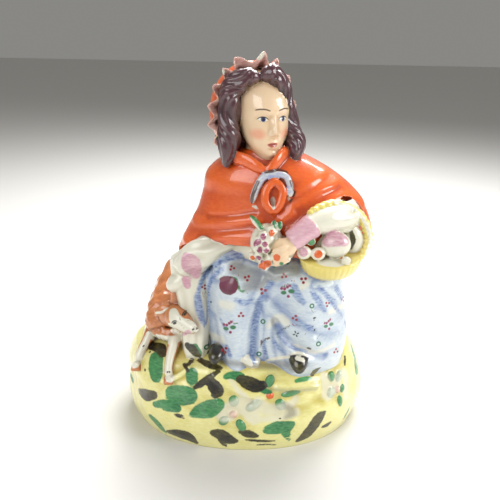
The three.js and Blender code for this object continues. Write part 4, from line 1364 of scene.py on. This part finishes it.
def painted_glaze(paints):
    """The painted decoration under its clear glaze."""
    glaze = Glaze("painted_glaze")
    wobble = (glaze.noise(2.2, 3) - 0.5) * 0.9
    cloud = glaze.noise(14, 3)
    brush = glaze.noise(3, 3, stretch=(1, 1, 0.35), shift=4)
    speck = glaze.noise(0.8, 2, shift=9)
    # hollow, deep and ridge say how far the surface dips or rises; the brushed colours below darken the hollows as
    # painted shade and lighten the ridges as painted highlight, besides the paint's own gathering and thinning
    hollow = glaze.field("region_5", 2)
    deep = hollow.edge(0.9, 0.25)
    ridge = (hollow * -1).edge(0.9, 0.25)

    def within(name, soft=0.35, at=0):
        return (glaze.field(*region_of(name)) + wobble * 0.5).edge(soft, at)

    def tone(thin, thick, share):
        return glaze.blend(share, tuple(thin), tuple(thick))

    def shaded_wash(thin, middle, thick):
        """A brushed colour, darker in hollows and paler on ridges: partly paint that gathers in the hollows and runs
        thin on the ridges, partly painted shade in the hollows and painted highlight on the ridges.
        """
        body = tone(thin, middle, (brush * 1.3 + cloud * 0.7 - 0.5).edge(0.9, 0.5))
        body = glaze.blend(deep * 0.75, body, tuple(thick))
        return glaze.blend(ridge * 0.4, body, tuple(thin))

    colour = shaded_wash(paints.ground_pale, paints.ground, paints.ground_deep)
    layers = {
        "skirt": shaded_wash(paints.skirt_pale, paints.skirt, paints.skirt_deep),
        "sleeve": shaded_wash(paints.white, paints.white, paints.white_deep),
        "cuff": shaded_wash(paints.rose_pale, paints.rose, paints.rose_deep),
        "cape": shaded_wash(paints.cape_pale, paints.cape, paints.cape_deep),
        "hood": shaded_wash(paints.cape_pale, paints.cape, paints.cape_deep),
        "frill": shaded_wash(paints.frill_pale, paints.frill, paints.frill_deep),
        "bow": shaded_wash(paints.white, paints.bow, paints.bow),
        "skin": shaded_wash(paints.skin, paints.skin, paints.skin_deep),
        "hair": shaded_wash(paints.hair_pale, paints.hair, paints.hair_deep),
        "posy": shaded_wash(paints.white, paints.white, paints.white_deep),
        "basket": shaded_wash(paints.basket, paints.basket, paints.basket_deep),
        "fruit": shaded_wash(paints.white, paints.white, paints.white_deep),
        "dog": shaded_wash(paints.coat_pale, paints.coat, paints.coat_deep),
        "shoe": shaded_wash(paints.ink, paints.ink, paints.ink),
        "leaf": shaded_wash(paints.green_pale, paints.green, paints.green_deep),
        "berry": shaded_wash(paints.orange, paints.orange, paints.cape_deep),
    }
    for name, paint in layers.items():
        colour = glaze.blend(within(name), colour, paint)
    colour = painted_face(glaze, paints, colour, within("skin"))
    dabs = {
        "pale": (tuple(paints.white), 2.4, 0.7),
        # shade lays the painted shade and painted reflection
        "shade": (tuple(paints.shade), 3, 0.6),
        "blue": (tone(paints.skirt, paints.skirt_deep, (brush * 1.4).edge(0.5, 0.7)), 1.6, 0.9),
        "green": (tone(paints.green_pale, paints.green, (brush * 1.6 + cloud - 0.8).edge(0.7, 0.5)), 0.7, 1),
        "dark": (tone(paints.olive, paints.ink, (brush + cloud - 0.5).edge(0.5, 0.45)), 0.6, 1),
        "white": (shaded_wash(paints.white, paints.white, paints.white_deep), 0.6, 1),
        "plum": (tone(paints.plum_pale, paints.plum, cloud.edge(0.5, 0.5)), 0.5, 1),
        "rose": (tone(paints.rose_pale, paints.rose, (brush + cloud * 0.6 - 0.3).edge(0.5, 0.45)), 0.9, 0.9),
        "magenta": (tone(paints.rose, paints.magenta, brush.edge(0.3, 0.45)), 0.6, 1),
        "orange": (tuple(paints.orange), 0.5, 1),
        "brown": (tuple(paints.brown), 0.6, 0.9),
    }
    streaks = (glaze.noise(1.1, 2, stretch=(0.22, 1, 0.9), shift=6) - 0.5) * 3.2
    for name, (paint, soft, strength) in dabs.items():
        ragged = streaks * (-1 if name == "dark" else -0.35)
        share = (glaze.field(*dab_of(name)) + wobble + ragged * 0.35).edge(soft) * strength
        colour = glaze.blend(share, colour, paint)
    colour = painted_motifs(glaze, paints, colour)
    surface = glaze.node(
        "ShaderNodeBsdfPrincipled",
        None,
        Base_Color=colour,
        Roughness=0.22 + 0.16 * cloud + 0.1 * speck,
        IOR=1.5,
        Coat_Weight=0.8,
        Coat_Roughness=0.06,
    )
    bumps = glaze.node("ShaderNodeBump", None, Strength=0.35, Distance=0.0004, Height=cloud * 0.8 + speck * 0.12)
    glaze.tree.links.new(bumps.outputs[0], surface.inputs["Normal"])
    out = glaze.node("ShaderNodeOutputMaterial")
    glaze.tree.links.new(surface.outputs[0], out.inputs[0])
    return glaze.material


# The add-on


def paint(name, screen, about):
    """A colour that the user can change, given as it looks on a screen."""
    return FloatVectorProperty(name=name, description=about, default=linear(screen), size=3, subtype="COLOR", min=0, max=1)


class FigurePaints(bpy.types.PropertyGroup):
    """The colours of the figure's glazes"""

    # Each Pale colour is laid on ridges and each Deep colour in hollows: partly the paint running thin and gathering,
    # partly painted highlight and painted shade
    ground: paint("Ground", (0.86, 0.82, 0.42), "Yellow of the mound")
    ground_pale: paint("Pale ground", (0.93, 0.91, 0.66), "Yellow of the mound where it runs thin")
    ground_deep: paint("Deep ground", (0.74, 0.66, 0.25), "Yellow of the mound where it gathers")
    skirt: paint("Skirt", (0.62, 0.70, 0.80), "Blue wash of the skirt")
    skirt_pale: paint("Pale skirt", (0.84, 0.87, 0.87), "White of the skirt between the washes")
    skirt_deep: paint("Deep skirt", (0.24, 0.36, 0.62), "Blue where the wash gathers in the folds")
    white: paint("White", (0.88, 0.87, 0.80), "White earthenware under clear glaze")
    # Deep white is painted shade in the white's hollows, with the clear glaze gathering there
    white_deep: paint("Deep white", (0.66, 0.63, 0.52), "White earthenware in its hollows")
    cape: paint("Cape", (0.82, 0.27, 0.07), "Orange red of the cape")
    cape_pale: paint("Pale cape", (0.90, 0.42, 0.14), "Orange red where it runs thin")
    cape_deep: paint("Deep cape", (0.55, 0.12, 0.02), "Orange red where it gathers")
    frill: paint("Frill", (0.62, 0.30, 0.22), "Red brown inside the hood")
    # the pink on the frill's rim is partly painted highlight
    frill_pale: paint("Pale frill", (0.93, 0.78, 0.74), "Pink of the frill's rim")
    frill_deep: paint("Deep frill", (0.36, 0.14, 0.10), "Red brown in the frill's hollows")
    bow: paint("Bow", (0.40, 0.52, 0.80), "Blue of the ribbon")
    skin: paint("Skin", (0.90, 0.79, 0.65), "Flesh tint")
    skin_deep: paint("Deep skin", (0.74, 0.58, 0.42), "Flesh tint in its hollows")
    hair: paint("Hair", (0.20, 0.10, 0.13), "Aubergine of the hair")
    hair_pale: paint("Pale hair", (0.34, 0.19, 0.22), "Aubergine where it runs thin")
    hair_deep: paint("Deep hair", (0.10, 0.05, 0.07), "Aubergine where it gathers")
    basket: paint("Basket", (0.90, 0.83, 0.46), "Yellow of the basket")
    basket_deep: paint("Deep basket", (0.66, 0.52, 0.16), "Ochre between its ribs")
    coat: paint("Coat", (0.68, 0.38, 0.19), "Russet of the dog")
    coat_pale: paint("Pale coat", (0.80, 0.52, 0.32), "Russet where it runs thin")
    coat_deep: paint("Deep coat", (0.45, 0.22, 0.09), "Russet where it gathers")
    green: paint("Green", (0.10, 0.42, 0.24), "Green of the leaves")
    green_pale: paint("Pale green", (0.32, 0.60, 0.36), "Green where it runs thin")
    green_deep: paint("Deep green", (0.04, 0.22, 0.13), "Green where it gathers")
    olive: paint("Olive", (0.33, 0.31, 0.14), "Thin strokes of the dark paint")
    ink: paint("Ink", (0.10, 0.09, 0.07), "The dark paint")
    orange: paint("Orange", (0.86, 0.38, 0.12), "Orange of the berries")
    rose: paint("Rose", (0.75, 0.50, 0.60), "Pink of the cuff")
    rose_pale: paint("Pale rose", (0.88, 0.74, 0.76), "Pink where it runs thin")
    rose_deep: paint("Deep rose", (0.55, 0.30, 0.42), "Pink where it gathers")
    # Shade is painted shade and painted reflection, laid as a grey wash
    shade: paint("Shade", (0.45, 0.43, 0.38), "Grey wash in the lap")
    plum: paint("Plum", (0.28, 0.08, 0.15), "Dark plum of the fruit on the skirt")
    plum_pale: paint("Pale plum", (0.50, 0.24, 0.34), "Plum where it runs thin")
    magenta: paint("Magenta", (0.52, 0.10, 0.30), "Magenta of the flowers")
    brown: paint("Brown", (0.26, 0.15, 0.10), "Brown outlines")
    blush: paint("Blush", (0.88, 0.50, 0.36), "Colour of the cheeks")
    lips: paint("Lips", (0.66, 0.16, 0.16), "Colour of the lips")
    iris: paint("Iris", (0.16, 0.20, 0.40), "Colour of the eyes")
    red: paint("Red", (0.55, 0.08, 0.14), "Red of the dots")


class FigureSizes(bpy.types.PropertyGroup):
    """How finely the casting is made"""

    grain: FloatProperty(
        name="Grain",
        description="Size of the remesh that makes the forms one casting",
        default=0.55 * MM,
        min=0.3 * MM,
        subtype="DISTANCE",
        unit="LENGTH",
    )
    softness: IntProperty(name="Softness", description="Rounds of softening under the glaze", default=3, min=0)
    triangles: IntProperty(name="Triangles", description="Most triangles of the casting", default=190000, min=1000)
    lamp: FloatProperty(name="Main lamp", description="Power of the main lamp", default=6, min=0, subtype="POWER")


class FIGURE_OT_cast(bpy.types.Operator):
    """Models the girl, the dog and the mound as one casting"""

    bl_idname = "figure.cast"
    bl_label = "Cast the figure"

    def execute(self, context):
        sizes = context.scene.figure_sizes
        skins = [made for form in FORMS for made in form()]
        points, faces = joined([part for _, part in skins])
        piece = bpy.data.objects.new("cast_figure", mesh_of("cast_figure", points * MM, faces))
        context.scene.collection.objects.link(piece)
        changed(piece, "REMESH", mode="VOXEL", voxel_size=sizes.grain, use_smooth_shade=True)
        places = places_of(piece.data)
        for _ in range(sizes.softness):
            places = mix(places, neighbour_mean(piece.data, places), 0.5)
        set_places(piece.data, places)
        squares = len(piece.data.polygons)
        changed(piece, "DECIMATE", ratio=sizes.triangles / 2 / squares, use_collapse_triangulate=True)
        mesh = piece.data
        places = places_of(mesh) / MM
        found = margins(places, skins)
        # how deep each point lies in a hollow, read by the glaze for painted shade in hollows and painted highlight on
        # ridges
        found["hollow"] = hollows(mesh, places)
        set_places(mesh, fitted(places) * MM)
        keep(mesh, "face", places_in_head(places))
        for i, names in enumerate(REGIONS):
            keep(mesh, f"region_{i}", np.stack([found[name] for name in names], 1))
        places = places_of(mesh) / MM
        tree = BVHTree.FromPolygons(places.tolist(), faces_of(mesh).tolist())
        dabs = [np.max([stroke_gap(places, tree, keys) for keys in strokes], 0) for strokes in STROKES.values()]
        dabs += [np.zeros(len(places))] * (-len(dabs) % 3)
        for i in range(len(dabs) // 3):
            keep(mesh, f"dabs_{i}", np.stack(dabs[3 * i : 3 * i + 3], 1))
        for name, values in zip(("motif_frame", "motif_kind"), motif_fields(places, tree)):
            keep(mesh, name, values)
        mesh.shade_smooth()
        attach(piece, "root")
        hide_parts("figure")
        return {"FINISHED"}


class FIGURE_OT_glaze(bpy.types.Operator):
    """Paints and glazes the casting"""

    bl_idname = "figure.glaze"
    bl_label = "Paint and glaze"

    def execute(self, context):
        mesh = bpy.data.objects["cast_figure"].data
        mesh.materials.clear()
        mesh.materials.append(painted_glaze(context.scene.figure_paints))
        return {"FINISHED"}


class FIGURE_OT_stage(bpy.types.Operator):
    """Sets the floor, the lamps and the camera"""

    bl_idname = "figure.stage"
    bl_label = "Set the stage"

    def execute(self, context):
        scene = context.scene
        floor = bpy.data.objects.new("floor", mesh_of("floor", *floor_skin()))
        scene.collection.objects.link(floor)
        paper = Glaze("floor_paper")
        plain = paper.node("ShaderNodeBsdfPrincipled", None, Base_Color=(0.72, 0.71, 0.68), Roughness=0.6)
        paper.tree.links.new(plain.outputs[0], paper.node("ShaderNodeOutputMaterial").inputs[0])
        floor.data.materials.append(paper.material)
        world = bpy.data.worlds.new("studio")
        world.use_nodes = True
        world.node_tree.nodes["Background"].inputs["Color"].default_value = (0.62, 0.61, 0.58, 1)
        world.node_tree.nodes["Background"].inputs["Strength"].default_value = 0.4
        scene.world = world
        lamp("key", (0.12, 0.42, 0.75), (0, 0, 0.12), 0.6, context.scene.figure_sizes.lamp * 2.2)
        lamp("fill", (-0.55, -0.75, 0.6), (0, 0, 0.1), 0.7, context.scene.figure_sizes.lamp)
        lamp("side", (0.75, -0.25, 0.45), (0, 0, 0.12), 0.4, context.scene.figure_sizes.lamp * 0.8)
        film = bpy.data.cameras.new("eye")
        film.lens, film.sensor_width, film.sensor_fit = EYE["lens"], 36, "HORIZONTAL"
        film.clip_start = 0.01
        eye = bpy.data.objects.new("eye", film)
        scene.collection.objects.link(eye)
        right, up, forward = eye_axes()
        turn = Matrix(np.stack([right, up, -forward], 1).tolist()).to_4x4()
        eye.matrix_world = Matrix.Translation(Vector(EYE["place"]) * MM) @ turn
        scene.camera = eye
        scene.view_settings.view_transform = "Standard"
        return {"FINISHED"}


def floor_skin():
    """One wide square for the floor."""
    wide = 4
    corners = np.array([[-wide, -wide, 0], [wide, -wide, 0], [wide, wide, 0], [-wide, wide, 0]], float)
    return corners, np.array([[0, 1, 2], [0, 2, 3]])


def lamp(name, place, at, size, power):
    """A soft square lamp that looks at a point."""
    light = bpy.data.lights.new(name, "AREA")
    light.shape, light.size, light.energy = "SQUARE", size, power
    stand = bpy.data.objects.new(name, light)
    bpy.context.scene.collection.objects.link(stand)
    stand.location = place
    stand.rotation_euler = (Vector(at) - Vector(place)).to_track_quat("-Z", "Y").to_euler()


class FIGURE_PT_panel(bpy.types.Panel):
    """The figure's sizes and colours, and the steps that make it"""

    bl_idname = "FIGURE_PT_panel"
    bl_label = "Painted Figure"
    bl_space_type = "VIEW_3D"
    bl_region_type = "UI"
    bl_category = "Figure"

    def draw(self, context):
        for step in STEPS:
            self.layout.operator(step.bl_idname)
        for group in (context.scene.figure_sizes, context.scene.figure_paints):
            for name in group.bl_rna.properties.keys():
                if name not in ("rna_type", "name"):
                    self.layout.prop(group, name)


STEPS = (FIGURE_OT_cast, FIGURE_OT_glaze, FIGURE_OT_stage)
CLASSES = (FigurePaints, FigureSizes, *STEPS, FIGURE_PT_panel)


def register():
    for kind in CLASSES:
        bpy.utils.register_class(kind)
    bpy.types.Scene.figure_paints = PointerProperty(type=FigurePaints)
    bpy.types.Scene.figure_sizes = PointerProperty(type=FigureSizes)


def unregister():
    del bpy.types.Scene.figure_sizes
    del bpy.types.Scene.figure_paints
    for kind in reversed(CLASSES):
        bpy.utils.unregister_class(kind)


def main():
    register()
    for step in STEPS:
        group, name = step.bl_idname.split(".")
        getattr(getattr(bpy.ops, group), name)()


if __name__ == "__main__":
    main()
